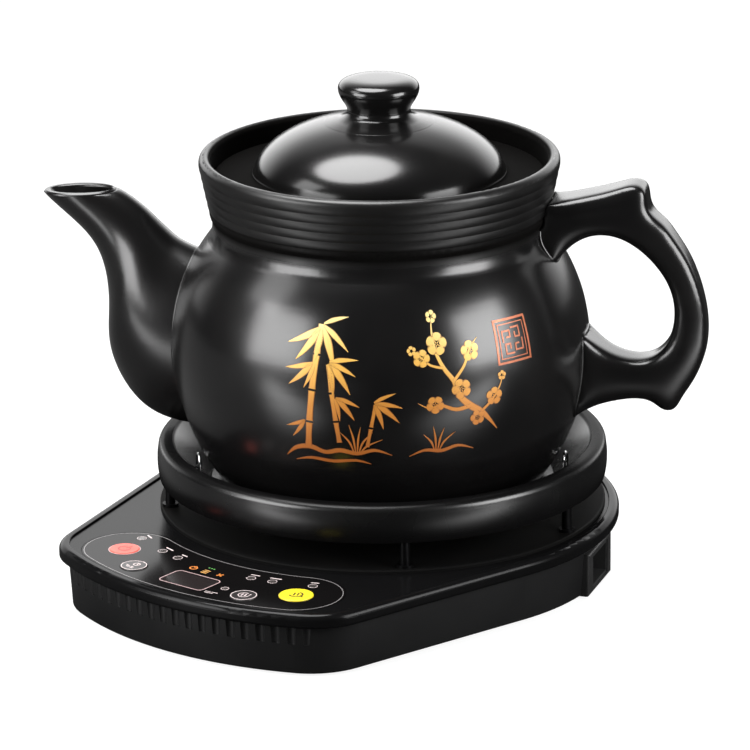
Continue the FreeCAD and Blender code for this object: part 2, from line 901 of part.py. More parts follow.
def make_lid_knob():
    """Knob luted to the crown of the dome: flared foot, waist, and a thick rolled top."""
    crown, _, _ = dome_arcs(ZERO)
    foot = size.knob_foot_radius
    neck = size.knob_neck_radius
    roll = size.knob_roll
    foot_height = size.dome_height - crown + root(crown * crown - foot * foot)
    top = size.dome_height + size.knob_height
    # the roll meets the waist's hollow on its lower outer side, at half a right angle
    slant = cosine(size.half_turn / 4)
    roll_axis = size.knob_radius - roll
    roll_height = top - size.knob_crown - roll
    meet_radius = roll_axis + roll * slant
    hollow = (meet_radius - neck) / (1 - slant)
    waist = roll_height - roll * slant - hollow * slant
    crown_bend = (roll_axis * roll_axis + size.knob_crown * size.knob_crown) / (size.knob_crown * 2)
    corners = [
        (ZERO, size.dome_height, -crown),
        (foot, foot_height, -(waist - foot_height)),
        (neck, waist, -hollow),
        (meet_radius, waist + hollow * slant, roll),
        (size.knob_radius, roll_height, roll),
        (roll_axis, top - size.knob_crown, crown_bend),
        (ZERO, top),
    ]
    return stand(turned("lid_knob_turned", corners), z=LID_SEAT, turn=size.pot_turn)


# ---------------------------------------------------------------------------- base outline

FIELD = size.deck_height - size.field_drop
DECK_UNDERSIDE = FIELD - size.deck_wall
SKIRT_FOOT = size.deck_height - size.skirt_height
SHELL_FOOT_INSET = size.shell_inset + size.shell_draft_run
FLOOR_TOP = size.foot_height + size.shell_wall
SHIELD_TOP = FIELD + size.shield_thickness


def corner_centre(corner):
    """Centre of the nose's right-hand corner, for a corner of the given radius."""
    slope_cos, slope_sin = cosine(size.side_slope), sine(size.side_slope)
    inner_back = size.back_radius - corner + size.back_shift * slope_sin
    inner_nose = size.nose_reach - corner
    run = root(inner_nose * inner_nose - inner_back * inner_back)
    return inner_back * slope_cos - run * slope_sin, -(inner_back * slope_sin) - run * slope_cos


def base_outline(inset, corner):
    """The base in plan, drawn in by an inset: a round back, straight sides that close in
    towards the nose, two corners and a front that is an arc about the pot's axis."""
    slope_cos, slope_sin = cosine(size.side_slope), sine(size.side_slope)
    corner_x, corner_y = corner_centre(corner)
    reach = (size.nose_reach - inset) / (size.nose_reach - corner)
    front_x, front_y = corner_x * reach, corner_y * reach
    bend = corner - inset
    side_x, side_y = corner_x + bend * slope_cos, corner_y - bend * slope_sin
    back = size.back_radius - inset
    tangent_x, tangent_y = back * slope_cos, -(back * slope_sin) - size.back_shift
    return [
        (tangent_x, tangent_y, back),
        (ZERO, back - size.back_shift, back),
        (-tangent_x, tangent_y),
        (-side_x, side_y, bend),
        (-front_x, front_y, size.nose_reach - inset),
        (front_x, front_y, bend),
        (side_x, side_y),
    ]


def deck_outline(inset):
    return base_outline(inset, size.nose_corner)


def tray_outline(inset):
    return base_outline(inset, size.shell_corner)


def panel_outline(inner, outer, span):
    """A band about the pot's axis at the nose, with half-round ends."""
    middle = (inner + outer) / 2
    end_radius = (outer - inner) / 2
    corners = []
    for side in (-1, 1):
        direction = size.half_turn * 1.5 + span * side
        x, y = cosine(direction), sine(direction)
        along_x, along_y = -y * side, x * side
        tip = (middle * x + end_radius * along_x, middle * y + end_radius * along_y)
        if side < 0:
            corners += [(inner * x, inner * y, end_radius), (*tip, end_radius),
                        (outer * x, outer * y, outer)]
        else:
            corners += [(outer * x, outer * y, end_radius), (*tip, end_radius),
                        (inner * x, inner * y, -inner)]
    return corners


def nose_point(radius, angle):
    """A point on the nose, by its radius and its angle from the nose's middle line."""
    return radius * sine(angle), -(radius * cosine(angle))


BUTTONS = {
    "red_button": (size.red_button_radius, *nose_point(size.start_button_circle,
                                                       -size.start_button_angle)),
    "left_button": (size.side_button_radius, *nose_point(size.side_button_circle,
                                                         -size.side_button_angle)),
    "right_button": (size.side_button_radius, *nose_point(size.side_button_circle,
                                                          size.side_button_angle)),
    "yellow_button": (size.yellow_button_radius, *nose_point(size.start_button_circle,
                                                             size.start_button_angle)),
}

LAMP_ANGLES = (-26, -16.5, -11, 9.5, 14.5, 23.5)
LAMPS = [nose_point(size.lamp_circle, angle) for angle in LAMP_ANGLES]
LAMPS.append(nose_point(size.window_circle, size.window_lamp_angle))

BOSS_ANGLES = (50, 130, 200, 340)
FOOT_ANGLES = (40, 140)
BOSSES = [polar(size.screw_circle, angle) for angle in BOSS_ANGLES]
BOSSES += [nose_point(size.front_screw_circle, size.front_screw_angle * side) for side in (-1, 1)]

POST_ANGLES = (6, 58, 122, 174, 226, 314)
CLIP_ANGLES = (27, 98, 158, 228)
POSTS = [polar(size.post_circle, angle) for angle in POST_ANGLES]

BOARD_PILLARS = [nose_point(size.rear_pillar_circle, size.rear_pillar_angle * side)
                 for side in (-1, 1)]
BOARD_PILLARS += [nose_point(size.side_pillar_circle, size.side_pillar_angle * side)
                  for side in (-1, 1)]


BOARD_TOP = size.control_board_height + size.board_thickness
SWITCH_TOP = BOARD_TOP + size.switch_height + size.plunger_rise
POWER_TOP = size.power_board_height + size.board_thickness


def panel_holes(clearance):
    """Openings for the buttons, lamps and window, each wider than its piece by a clearance."""
    holes = [(x, y, radius + clearance) for radius, x, y in BUTTONS.values()]
    holes += [(x, y, size.lamp_radius + size.lamp_fit) for x, y in LAMPS]
    half_length = size.window_length / 2 + size.lamp_fit
    half_width = size.window_width / 2 + size.lamp_fit
    holes.append(rectangle(-half_length, -size.window_circle - half_width,
                           half_length, -size.window_circle + half_width))
    return holes


# ---------------------------------------------------------------------------- base shells

def make_upper_shell():
    """Gloss deck: a rim round a sunken field, with the panel's seat in the nose."""
    body = new_body("upper_shell_body")
    pad(body, SKIRT_FOOT, size.skirt_height, deck_outline(ZERO))
    top = size.deck_height.value
    foot = SKIRT_FOOT.value
    round_edges(body, size.skirt_edge, lambda edge: at_level(edge, top))
    round_edges(body, size.skirt_edge / 2, lambda edge: at_level(edge, foot))
    known = {middle_of(edge) for edge in body.Tip.Shape.Edges}
    pocket(body, size.deck_height, size.field_drop, deck_outline(size.rim_width))
    round_edges(body, size.field_drop * 0.6,
                lambda edge: at_level(edge, top) and middle_of(edge) not in known)
    pocket(body, FIELD, size.panel_thickness,
           panel_outline(size.panel_inner - size.panel_fit, size.panel_outer + size.panel_fit,
                         size.panel_span))
    hollow = DECK_UNDERSIDE - SKIRT_FOOT
    pocket(body, SKIRT_FOOT, hollow, deck_outline(size.shell_inset - size.shell_fit), upwards=True)
    pad(body, size.boss_split, DECK_UNDERSIDE - size.boss_split,
        *[(x, y, size.boss_radius) for x, y in BOSSES])
    pocket(body, size.boss_split, size.screw_bite, *[(x, y, size.screw_radius) for x, y in BOSSES],
           upwards=True)
    openings = panel_holes(size.button_fit)
    openings.append((ZERO, ZERO, size.heater_opening))
    openings += [(x, y, size.screw_radius + size.shell_fit) for x, y in POSTS]
    pocket(body, size.deck_height, size.skirt_height, *openings)
    return body


def middle_of(edge):
    """The middle of an edge, rounded so that equal edges of two shapes compare as equal."""
    point = edge.valueAt((edge.FirstParameter + edge.LastParameter) / 2)
    return round(point.x, 2), round(point.y, 2), round(point.z, 2)


def make_lower_shell():
    """Tray under the deck: drafted wall with upright flutes round the nose, and a vented floor."""
    body = new_body("lower_shell_body")
    height = DECK_UNDERSIDE - size.foot_height
    draft = size.shell_draft_run / height
    wall = pad(body, size.foot_height, height, tray_outline(SHELL_FOOT_INSET))
    bind(wall, TaperAngle=arctangent(draft))
    foot = size.foot_height.value
    round_edges(body, size.shell_wall / 2, lambda edge: at_level(edge, foot))
    hollow = pocket(body, DECK_UNDERSIDE, DECK_UNDERSIDE - FLOOR_TOP,
                    tray_outline(size.shell_inset + size.shell_wall))
    bind(hollow, TaperAngle=arctangent(-draft))
    pad(body, FLOOR_TOP, size.boss_split - FLOOR_TOP, *[(x, y, size.boss_radius) for x, y in BOSSES])
    pocket(body, size.boss_split, size.boss_split - size.foot_height,
           *[(x, y, size.screw_radius + size.shell_fit) for x, y in BOSSES])
    pocket(body, size.foot_height, size.head_recess,
           *[(x, y, size.screw_head_radius + size.shell_fit) for x, y in BOSSES], upwards=True)
    slots = []
    for place in range(int(size.vent_count.value)):
        middle = size.vent_pitch * place - size.vent_pitch * (size.vent_count - 1) / 2
        slots.append(rectangle(middle - size.vent_width / 2, -size.vent_near - size.vent_length,
                               middle + size.vent_width / 2, -size.vent_near))
    pocket(body, FLOOR_TOP, size.shell_wall, *slots)
    flute_axis = size.nose_reach - size.shell_inset + size.flute_radius - size.flute_depth
    sweep = size.flute_pitch * (size.flute_count - 1)
    flute_x, flute_y = nose_point(flute_axis, sweep / -2)
    flute = pocket(body, SKIRT_FOOT, size.flute_length, (flute_x, flute_y, size.flute_radius))
    pattern = body.newObject("PartDesign::PolarPattern", "lower_shell_flutes")
    pattern.Originals = [flute]
    axis = next(item for item in body.Origin.OriginFeatures if item.Role == "Z_Axis")
    pattern.Axis = (axis, [""])
    bind(pattern, Angle=sweep, Occurrences=size.flute_count)
    body.Tip = pattern
    x, y = inlet_point(size.inlet_face - size.shell_fit, ZERO)
    gate = block("inlet_gate", size.inlet_depth * 2, size.inlet_width + size.shell_fit * 2,
                 size.inlet_top + size.shell_fit, x, y, ZERO, size.inlet_turn)
    return cut("lower_shell_cut", body, gate)


def make_feet():
    """Rubber feet stuck under the tray: four near its edge and one under the pot's axis."""
    front_x, front_y = corner_centre(size.shell_corner)
    places = [polar(size.foot_circle, angle) for angle in FOOT_ANGLES]
    places += [(front_x, front_y), (-front_x, front_y), (ZERO, ZERO)]
    discs = []
    for number, (x, y) in enumerate(places, start=1):
        discs.append(rod(f"foot_disc_{number}", size.foot_radius, ZERO, size.foot_height, x, y))
    return group("rubber_feet_group", discs)


def make_screws(name, places, seat, length, upwards=True):
    """Identical screws with plain heads; the head's inner face lies at the seat's level."""
    screws = []
    for number, (x, y) in enumerate(places, start=1):
        shank_foot = seat if upwards else seat - length
        head_foot = seat - size.screw_head_height if upwards else seat
        shank = rod(f"{name}_shank_{number}", size.screw_radius, shank_foot, length, x, y)
        head = rod(f"{name}_head_{number}", size.screw_head_radius, head_foot,
                   size.screw_head_height, x, y)
        screws.append(fuse(f"{name}_{number}", [shank, head]))
    return group(f"{name}_group", screws)


# ---------------------------------------------------------------------------- heated dish

def dish_slope_offset():
    """How far a sheet's underside lies inside its top along the sloping face, measured flat."""
    run = size.dish_crest_radius - size.dish_floor_radius
    rise = size.dish_crest - size.dish_floor
    return size.dish_sheet * (root(run * run + rise * rise) - run) / rise


def make_dish():
    """Pressed steel dish: floor, sloping inside, rolled crest and bulging outer wall."""
    sheet_gauge = size.dish_sheet
    offset = dish_slope_offset()
    land_radius = size.dish_crest_radius + size.dish_crest_land
    outer = land_radius + size.dish_crest_bend
    shoulder = size.dish_crest - size.dish_crest_bend
    corners = [
        (size.dish_hole_radius, size.dish_floor - sheet_gauge),
        (size.dish_floor_radius + offset, size.dish_floor - sheet_gauge),
        (size.dish_crest_radius + offset, size.dish_crest - sheet_gauge),
        (land_radius, size.dish_crest - sheet_gauge, -(size.dish_crest_bend - sheet_gauge)),
        (outer - sheet_gauge, shoulder, -(size.dish_bulge_bend - sheet_gauge)),
        (size.dish_outer_radius - sheet_gauge, size.dish_lower_edge),
        (size.dish_outer_radius, size.dish_lower_edge, size.dish_bulge_bend),
        (outer, shoulder, size.dish_crest_bend),
        (land_radius, size.dish_crest),
        (size.dish_crest_radius, size.dish_crest),
        (size.dish_floor_radius, size.dish_floor),
        (size.dish_hole_radius, size.dish_floor),
    ]
    body = turned("heater_dish_turned", corners)
    crest = size.dish_crest.value
    inner = size.dish_crest_radius.value
    round_edges(body, size.dish_sheet * 0.6,
                lambda edge: at_level(edge, crest) and abs(edge.Length / (2 * math.pi) - inner) < 0.1)
    return body


def element_ring(name):
    ring = doc.addObject("Part::Torus", name)
    bind(ring, Radius1=size.element_ring_radius, Radius2=size.element_tube_radius,
         Angle3=size.half_turn * 2 - size.element_gap_angle)
    stand(ring, z=size.plate_underside, turn=size.half_turn + size.element_gap_angle / 2)
    return ring


ELEMENT_ENDS = [polar(size.element_ring_radius, size.half_turn + size.element_gap_angle * side / 2)
                for side in (-1, 1)]


def make_heating_plate():
    """Cast plate: a flange on the dish's floor, and a boss through its hole that holds the
    heating element in a groove."""
    boss = size.dish_hole_radius - size.plate_flange_fit
    edge = (size.plate_top - size.dish_floor) / 4
    corners = [
        (ZERO, size.plate_underside),
        (boss, size.plate_underside),
        (boss, size.dish_floor),
        (size.plate_radius, size.dish_floor),
        (size.plate_radius, size.plate_top - edge, edge),
        (size.plate_radius - edge, size.plate_top),
        (ZERO, size.plate_top),
    ]
    return cut("heating_plate_cut", turned("heating_plate_turned", corners),
               element_ring("plate_groove"))


def make_element():
    """Tubular ring with two ends that turn down through the shield."""
    ends = []
    for number, (x, y) in enumerate(ELEMENT_ENDS, start=1):
        ends.append(rod(f"element_end_{number}", size.element_tube_radius, size.element_foot,
                        size.plate_underside - size.element_foot, x, y))
    return fuse("heating_element_fused", [element_ring("element_tube")] + ends)


def make_bushings():
    """Ceramic bushings that carry the element's ends through the shield."""
    outer = size.element_tube_radius + size.bushing_wall
    foot = FIELD - size.bushing_wall
    rise = SHIELD_TOP + size.mica_thickness + size.bushing_wall - foot
    bore_radius = size.element_tube_radius + size.small_fit
    tubes = []
    for number, (x, y) in enumerate(ELEMENT_ENDS, start=1):
        tube = rod(f"bushing_tube_{number}", outer, foot, rise, x, y)
        bore = rod(f"bushing_bore_{number}", bore_radius, foot, rise, x, y)
        tubes.append(cut(f"bushing_{number}", tube, bore))
    return group("terminal_bushings_group", tubes)


def shield_holes():
    """Openings for the bushings and the sensor, in the shield and in the mica on it."""
    bushing = size.element_tube_radius + size.bushing_wall + size.small_fit
    return [(x, y, bushing) for x, y in ELEMENT_ENDS] + [(ZERO, ZERO, size.sensor_radius)]


def make_shield():
    """Black steel disc on the deck, under the dish."""
    body = new_body("heat_shield_body")
    screws = [(x, y, size.screw_radius + size.shell_fit) for x, y in POSTS]
    pad(body, FIELD, size.shield_thickness, (ZERO, ZERO, size.shield_radius), *shield_holes(), *screws)
    top = SHIELD_TOP.value
    reach = size.shield_radius.value - size.shield_thickness.value
    round_edges(body, size.shield_thickness / 2.5, lambda edge: at_level(edge, top, reach))
    return body


def make_mica():
    """Insulating sheet on the shield, under the heating plate."""
    body = new_body("mica_disc_body")
    radius = size.dish_hole_radius - size.mica_margin
    pad(body, SHIELD_TOP, size.mica_thickness, (ZERO, ZERO, radius), *shield_holes())
    return body


def make_posts(dish):
    """Six steel posts from the shield up into the dish's crest."""
    posts = []
    height = size.dish_crest - size.dish_sheet - SHIELD_TOP
    for number, (x, y) in enumerate(POSTS, start=1):
        shaft = rod(f"post_shaft_{number}", size.post_radius, SHIELD_TOP, height, x, y)
        foot = rod(f"post_foot_{number}", size.post_foot_radius, SHIELD_TOP, size.dish_sheet, x, y)
        bore = rod(f"post_bore_{number}", size.screw_radius, SHIELD_TOP, size.post_screw_bite, x, y)
        posts.append(cut(f"post_{number}", fuse(f"post_solid_{number}", [shaft, foot]), bore))
    return cut("dish_posts_cut", group("dish_posts_group", posts), dish)


def make_clips(dish):
    """Four wire loops on the dish's slope that keep the pot off the crest."""
    loops = []
    half = size.clip_width.value / 2
    wire = size.clip_wire.value
    bend_height = size.clip_top.value - half - wire
    slope = (size.dish_crest.value - size.dish_floor.value)
    slope /= size.dish_crest_radius.value - size.dish_floor_radius.value
    foot = size.dish_floor.value + slope * (size.clip_circle.value - size.dish_floor_radius.value)
    foot -= wire * slope
    upright = Vector(0, 0, 1)
    for angle in CLIP_ANGLES:
        legs = [Part.makeCylinder(wire, bend_height - foot, Vector(0, side * half, foot), upright)
                for side in (-1, 1)]
        arch = Part.makeTorus(half, wire, Vector(0, 0, bend_height), Vector(1, 0, 0), 0, 360, 360)
        upper = Part.makeBox(4 * wire, 4 * half, 2 * half, Vector(-2 * wire, -2 * half, bend_height))
        loop = legs[0].multiFuse([legs[1], arch.common(upper)]).removeSplitter()
        loop.translate(Vector(size.clip_circle.value, 0, 0))
        loop.rotate(Vector(0, 0, 0), upright, angle)
        loops.append(loop)
    wires = feature("pot_clips_wires", Part.makeCompound(loops))
    return cut("pot_clips_cut", wires, dish)


def make_plate_sensor():
    height = size.sensor_height
    return rod("plate_sensor_rod", size.sensor_radius - size.small_fit,
               size.plate_underside - height, height)


def make_cutout():
    """Thermal cut-out lying against the plate's underside."""
    radius = size.cutout_radius
    thing = doc.addObject("Part::Cylinder", "thermal_cutout_rod")
    bind(thing, Radius=radius, Height=size.cutout_length)
    thing.Placement = Placement(Vector(0, 0, 0), Rotation(Vector(0, 1, 0), 90))
    bind(thing, Placement__Base__x=size.cutout_place, Placement__Base__z=size.plate_underside - radius)
    return thing


def make_cutout_clip():
    """U-shaped bracket that presses the cut-out to the plate."""
    body = new_body("cutout_clip_body")
    radius = size.cutout_radius
    half_width = radius + size.cutout_clip_leg
    top = size.plate_underside
    axis = top - radius
    foot = axis - radius - size.mica_thickness
    pad(body, size.cutout_place + size.cutout_length / 4, size.cutout_length / 2, [
        (-half_width, foot),
        (half_width, foot),
        (half_width, top),
        (radius, top),
        (radius, axis, -radius),
        (ZERO, axis - radius, -radius),
        (-radius, axis),
        (-radius, top),
        (-half_width, top),
    ], role="YZ_Plane")
    return body


# ---------------------------------------------------------------------------- control panel

def make_panel():
    body = new_body("panel_overlay_body")
    pad(body, FIELD - size.panel_thickness, size.panel_thickness,
        panel_outline(size.panel_inner, size.panel_outer, size.panel_span),
        *panel_holes(size.button_fit))
    return body


def make_button(name, radius, x, y):
    """Cap through the panel, a flange that stops it under the deck, and a stem to its switch."""
    cap_top = FIELD + size.button_rise
    flange_foot = DECK_UNDERSIDE - size.button_flange
    stem_foot = SWITCH_TOP + size.button_travel + size.plunger_gap
    corners = [
        (ZERO, stem_foot),
        (size.button_stem_radius, stem_foot),
        (size.button_stem_radius, flange_foot),
        (radius + size.button_flange, flange_foot),
        (radius + size.button_flange, DECK_UNDERSIDE),
        (radius, DECK_UNDERSIDE),
        (radius, FIELD, size.button_rise),
        (radius - size.button_rise, cap_top),
        (ZERO, cap_top),
    ]
    return stand(turned(f"{name}_turned", corners), x, y)


def make_window():
    """Clear window over the display."""
    return block("display_window_block", size.window_length, size.window_width,
                 FIELD - DECK_UNDERSIDE, ZERO, -size.window_circle, DECK_UNDERSIDE)


def make_display():
    """Display block between the control board and the window."""
    return block("display_module_block", size.window_length, size.window_width,
                 DECK_UNDERSIDE - BOARD_TOP, ZERO, -size.window_circle, BOARD_TOP)


def make_lamps():
    """Light pipes from the panel's face down to the lamps on the board."""
    pipes = []
    foot = BOARD_TOP + size.lamp_chip
    for number, (x, y) in enumerate(LAMPS, start=1):
        pipes.append(rod(f"light_pipe_{number}", size.lamp_radius, foot, FIELD - foot, x, y))
    return group("light_pipes_group", pipes)


def make_lamp_chips():
    chips = []
    for number, (x, y) in enumerate(LAMPS, start=1):
        chips.append(block(f"lamp_chip_{number}", size.lamp_radius * 2, size.lamp_radius * 1.5,
                           size.lamp_chip, x, y, BOARD_TOP))
    return group("lamp_chips_group", chips)


def make_control_board():
    body = new_body("control_board_body")
    holes = [(x, y, size.screw_radius + size.small_fit) for x, y in BOARD_PILLARS]
    pad(body, size.control_board_height, size.board_thickness,
        panel_outline(size.control_board_inner, size.control_board_outer, size.panel_span), *holes)
    return body


def make_board_pillars():
    """Brass pillars from the deck's underside down to the control board."""
    pillars = []
    height = DECK_UNDERSIDE - BOARD_TOP
    for number, (x, y) in enumerate(BOARD_PILLARS, start=1):
        post = rod(f"pillar_post_{number}", size.pillar_radius, BOARD_TOP, height, x, y)
        bore = rod(f"pillar_bore_{number}", size.screw_radius, BOARD_TOP, height / 2, x, y)
        pillars.append(cut(f"pillar_{number}", post, bore))
    return group("board_pillars_group", pillars)


def make_switches():
    """Push switches under the buttons: square body and round plunger."""
    switches = []
    for number, (_, x, y) in enumerate(BUTTONS.values(), start=1):
        case = block(f"switch_case_{number}", size.switch_body, size.switch_body,
                     size.switch_height, x, y, BOARD_TOP)
        plunger = rod(f"switch_plunger_{number}", size.button_stem_radius, BOARD_TOP,
                      SWITCH_TOP - BOARD_TOP, x, y)
        switches.append(fuse(f"switch_{number}", [case, plunger]))
    return group("push_switches_group", switches)


def make_buzzer():
    x, y = nose_point(size.buzzer_circle, size.buzzer_angle)
    return rod("buzzer_rod", size.buzzer_radius, size.control_board_height - size.buzzer_height,
               size.buzzer_height, x, y)


def make_ribbon_sockets():
    """Plug blocks at the ribbon's two ends, under the control board and on the power board."""
    near = size.power_board_y - size.power_board_width / 2
    depth = size.ribbon_plug_depth
    height = size.ribbon_plug_height
    ends = [
        block("ribbon_plug_front", size.ribbon_width, depth, height,
              ZERO, -size.rear_pillar_circle, size.control_board_height - height),
        block("ribbon_plug_back", size.ribbon_width, depth, height, ZERO, near + depth / 2, POWER_TOP),
    ]
    return group("ribbon_sockets_group", ends)


def make_ribbon():
    """Flat cable that sags a little between the two boards."""
    body = new_body("ribbon_cable_body")
    start = size.ribbon_plug_depth / 2 - size.rear_pillar_circle
    end = size.power_board_y - size.power_board_width / 2
    start_height = size.control_board_height - size.ribbon_plug_height / 2
    end_height = POWER_TOP + size.ribbon_plug_height / 2
    thickness = size.ribbon_thickness
    corners = [
        (start, start_height, size.ribbon_bend),
        (end, end_height),
        (end, end_height + thickness, -(size.ribbon_bend - thickness)),
        (start, start_height + thickness),
    ]
    pad(body, size.ribbon_width / -2, size.ribbon_width, corners, role="YZ_Plane")
    return body


# ---------------------------------------------------------------------------- power side

POWER_CORNERS = [((size.power_board_length / 2 - size.pillar_radius * 2) * side_x,
                  size.power_board_y + (size.power_board_width / 2 - size.pillar_radius * 2) * side_y)
                 for side_x in (-1, 1) for side_y in (-1, 1)]


def make_power_board():
    body = new_body("power_board_body")
    half_length = size.power_board_length / 2
    half_width = size.power_board_width / 2
    holes = [(x, y, size.screw_radius + size.small_fit) for x, y in POWER_CORNERS]
    pad(body, size.power_board_height, size.board_thickness,
        rectangle(-half_length, size.power_board_y - half_width,
                  half_length, size.power_board_y + half_width), *holes)
    return body


def make_power_pillars():
    """Pillars from the tray's floor up to the power board's corners."""
    pillars = []
    height = size.power_board_height - FLOOR_TOP
    for number, (x, y) in enumerate(POWER_CORNERS, start=1):
        post = rod(f"power_post_{number}", size.pillar_radius, FLOOR_TOP, height, x, y)
        bore = rod(f"power_bore_{number}", size.screw_radius, FLOOR_TOP, height, x, y)
        pillars.append(cut(f"power_pillar_{number}", post, bore))
    return group("power_pillars_group", pillars)


def on_board(name, length, width, height, x, y):
    """A block that stands on the power board; x and y are measured from the board's middle."""
    return block(f"{name}_block", length, width, height, as_size(x), size.power_board_y + y, POWER_TOP)


def make_heat_sink():
    """Finned block that cools the switching device."""
    back = on_board("sink_back", size.sink_length, size.sink_back, size.sink_height,
                    size.sink_x, size.sink_y)
    parts = [back]
    first = size.sink_x - (size.sink_length - size.sink_fin) / 2
    pitch = (size.sink_length - size.sink_fin) / (size.sink_fin_count - 1)
    for place in range(int(size.sink_fin_count.value)):
        parts.append(on_board(f"sink_fin_{place}", size.sink_fin, size.sink_fin_depth,
                              size.sink_height, first + pitch * place,
                              size.sink_y + size.sink_fin_depth / 2))
    return fuse("heat_sink_fused", parts)


def make_capacitors():
    cans = []
    for number in range(2):
        cans.append(rod(f"capacitor_can_{number + 1}", size.capacitor_radius, POWER_TOP,
                        size.capacitor_height, size.capacitor_x + size.capacitor_pitch * number,
                        size.power_board_y + size.capacitor_y))
    return group("capacitors_group", cans)


def terminal_x(number):
    return size.terminal_place + size.terminal_pitch * (number - 1)


def make_terminals():
    """Terminal block that takes the heater's leads, with a round entry over each clamp."""
    base = on_board("terminal_base", size.terminal_pitch * 3, size.terminal_pitch - 2,
                    size.terminal_height, size.terminal_place, size.terminal_row)
    entries = []
    for number in range(3):
        entries.append(rod(f"terminal_entry_{number}", size.wire_radius + size.small_fit,
                           POWER_TOP + size.terminal_height / 2, size.terminal_height / 2,
                           terminal_x(number), size.power_board_y + size.terminal_row))
    return cut("terminal_block_cut", base, group("terminal_entries", entries))


def lead(points, radius, bend):
    """Insulated wire along straight runs joined by tangent arcs."""
    edges = []
    here = points[0]
    for before, corner, after in zip(points, points[1:], points[2:]):
        into = (corner - before).normalize()
        out = (after - corner).normalize()
        turn = into.getAngle(out)
        trim = bend * math.tan(turn / 2)
        start = corner - into * trim
        end = corner + out * trim
        centre_way = (out - into).normalize()
        middle = corner + centre_way * (bend / math.cos(turn / 2) - bend)
        edges.append(Part.LineSegment(here, start).toShape())
        edges.append(Part.Arc(start, middle, end).toShape())
        here = end
    edges.append(Part.LineSegment(here, points[-1]).toShape())
    first_way = (points[1] - points[0]).normalize()
    profile = Part.Wire([Part.Circle(points[0], first_way, radius).toShape()])
    return Part.Wire(edges).makePipeShell([profile], True, False)


def spot(x, y, z):
    return Vector(as_size(x).value, as_size(y).value, as_size(z).value)


def make_heater_leads():
    """Leads from the element's two ends down into the terminal block."""
    level = size.wire_level
    entry = POWER_TOP + size.terminal_height / 2
    row = size.power_board_y + size.terminal_row
    leads = []
    for number, (x, y) in enumerate(reversed(ELEMENT_ENDS)):
        route = [spot(x, y, size.element_foot), spot(x, y, level),
                 spot(terminal_x(number), row, level), spot(terminal_x(number), row, entry)]
        leads.append(lead(route, size.wire_radius.value, size.wire_bend.value))
    return feature("heater_leads_wires", Part.makeCompound(leads))


def make_connector():
    """Plug block on the power board for the mains leads."""
    return on_board("mains_connector", size.connector_length, size.connector_width,
                    size.connector_height, size.connector_place, ZERO)


def make_mains_leads():
    """Two leads from the back of the socket to the plug block."""
    end_x = size.connector_place + size.connector_length / 2
    end_height = POWER_TOP + size.connector_height / 2
    back = size.inlet_face - size.inlet_depth
    leads = []
    for side in (-1, 1):
        across = size.pin_spacing / 2 * side
        x0, y0 = inlet_point(back, across)
        x1, y1 = inlet_point(back - size.boss_radius * 3, across)
        end_y = size.power_board_y + across
        route = [spot(x0, y0, end_height), spot(x1, y1, end_height),
                 spot(end_x + size.boss_radius * 2, end_y, end_height), spot(end_x, end_y, end_height)]
        leads.append(lead(route, size.wire_radius.value, size.wire_bend.value))
    return feature("mains_leads_wires", Part.makeCompound(leads))


# ---------------------------------------------------------------------------- power inlet

def inlet_point(out, across):
    """Plan coordinates of a point given along the inlet's own axis and across it."""
    across = across + size.inlet_shift
    turn = size.inlet_turn
    return out * cosine(turn) - across * sine(turn), out * sine(turn) + across * cosine(turn)


INLET_MIDDLE = (size.inlet_top + size.foot_height) / 2


def inlet_rectangle(half_width, half_height):
    """Outline in the inlet's own upright plane, centred on the socket."""
    return rectangle(size.inlet_shift - half_width, INLET_MIDDLE - half_height,
                     size.inlet_shift + half_width, INLET_MIDDLE + half_height)


def make_inlet_housing():
    """Box that stands out of the tray's side and holds the socket."""
    body = new_body("inlet_housing_body")
    depth = size.inlet_depth
    pad(body, size.inlet_face - depth, depth,
        inlet_rectangle(size.inlet_width / 2, (size.inlet_top - size.foot_height) / 2),
        inlet_rectangle(size.socket_width / 2 + size.socket_wall,
                        size.socket_height / 2 + size.socket_wall), role="YZ_Plane")
    face = size.inlet_face.value
    round_edges(body, size.inlet_edge,
                lambda edge: abs(edge.BoundBox.XMin - face) < 0.01 and is_outline(edge))
    return stand(body, turn=size.inlet_turn)


def is_outline(edge):
    """Whether an edge of the inlet's face belongs to the box's outline, not to its hole."""
    middle = edge.valueAt((edge.FirstParameter + edge.LastParameter) / 2)
    across = abs(middle.y - size.inlet_shift.value)
    up = abs(middle.z - INLET_MIDDLE.value)
    half_width = size.socket_width.value / 2 + size.socket_wall.value
    half_height = size.socket_height.value / 2 + size.socket_wall.value
    return across > half_width + 0.01 or up > half_height + 0.01


def make_inlet_socket():
    """Moulded socket with a deep recess for the plug."""
    body = new_body("inlet_socket_body")
    face = size.inlet_face - size.socket_recess
    depth = size.inlet_depth - size.socket_recess
    wall = size.socket_wall - size.small_fit
    pad(body, face - depth, depth,
        inlet_rectangle(size.socket_width / 2 + wall, size.socket_height / 2 + wall), role="YZ_Plane")
    pocket(body, face, size.socket_depth,
           inlet_rectangle(size.socket_width / 2, size.socket_height / 2), role="YZ_Plane")
    return stand(body, turn=size.inlet_turn)


def make_inlet_pins():
    """Three flat pins at the back of the socket's recess, the middle one set higher."""
    floor = size.inlet_face - size.socket_recess - size.socket_depth
    pins = []
    for place in (-1, 0, 1):
        step = size.pin_step if place == 0 else -size.pin_step
        x, y = inlet_point(floor + size.pin_length / 2, size.pin_spacing * place)
        pins.append(block(f"inlet_pin_{place + 2}", size.pin_length, size.pin_width, size.pin_height,
                          x, y, INLET_MIDDLE + step - size.pin_height / 2, size.inlet_turn))
    return group("inlet_pins_group", pins)


# ---------------------------------------------------------------------------- export

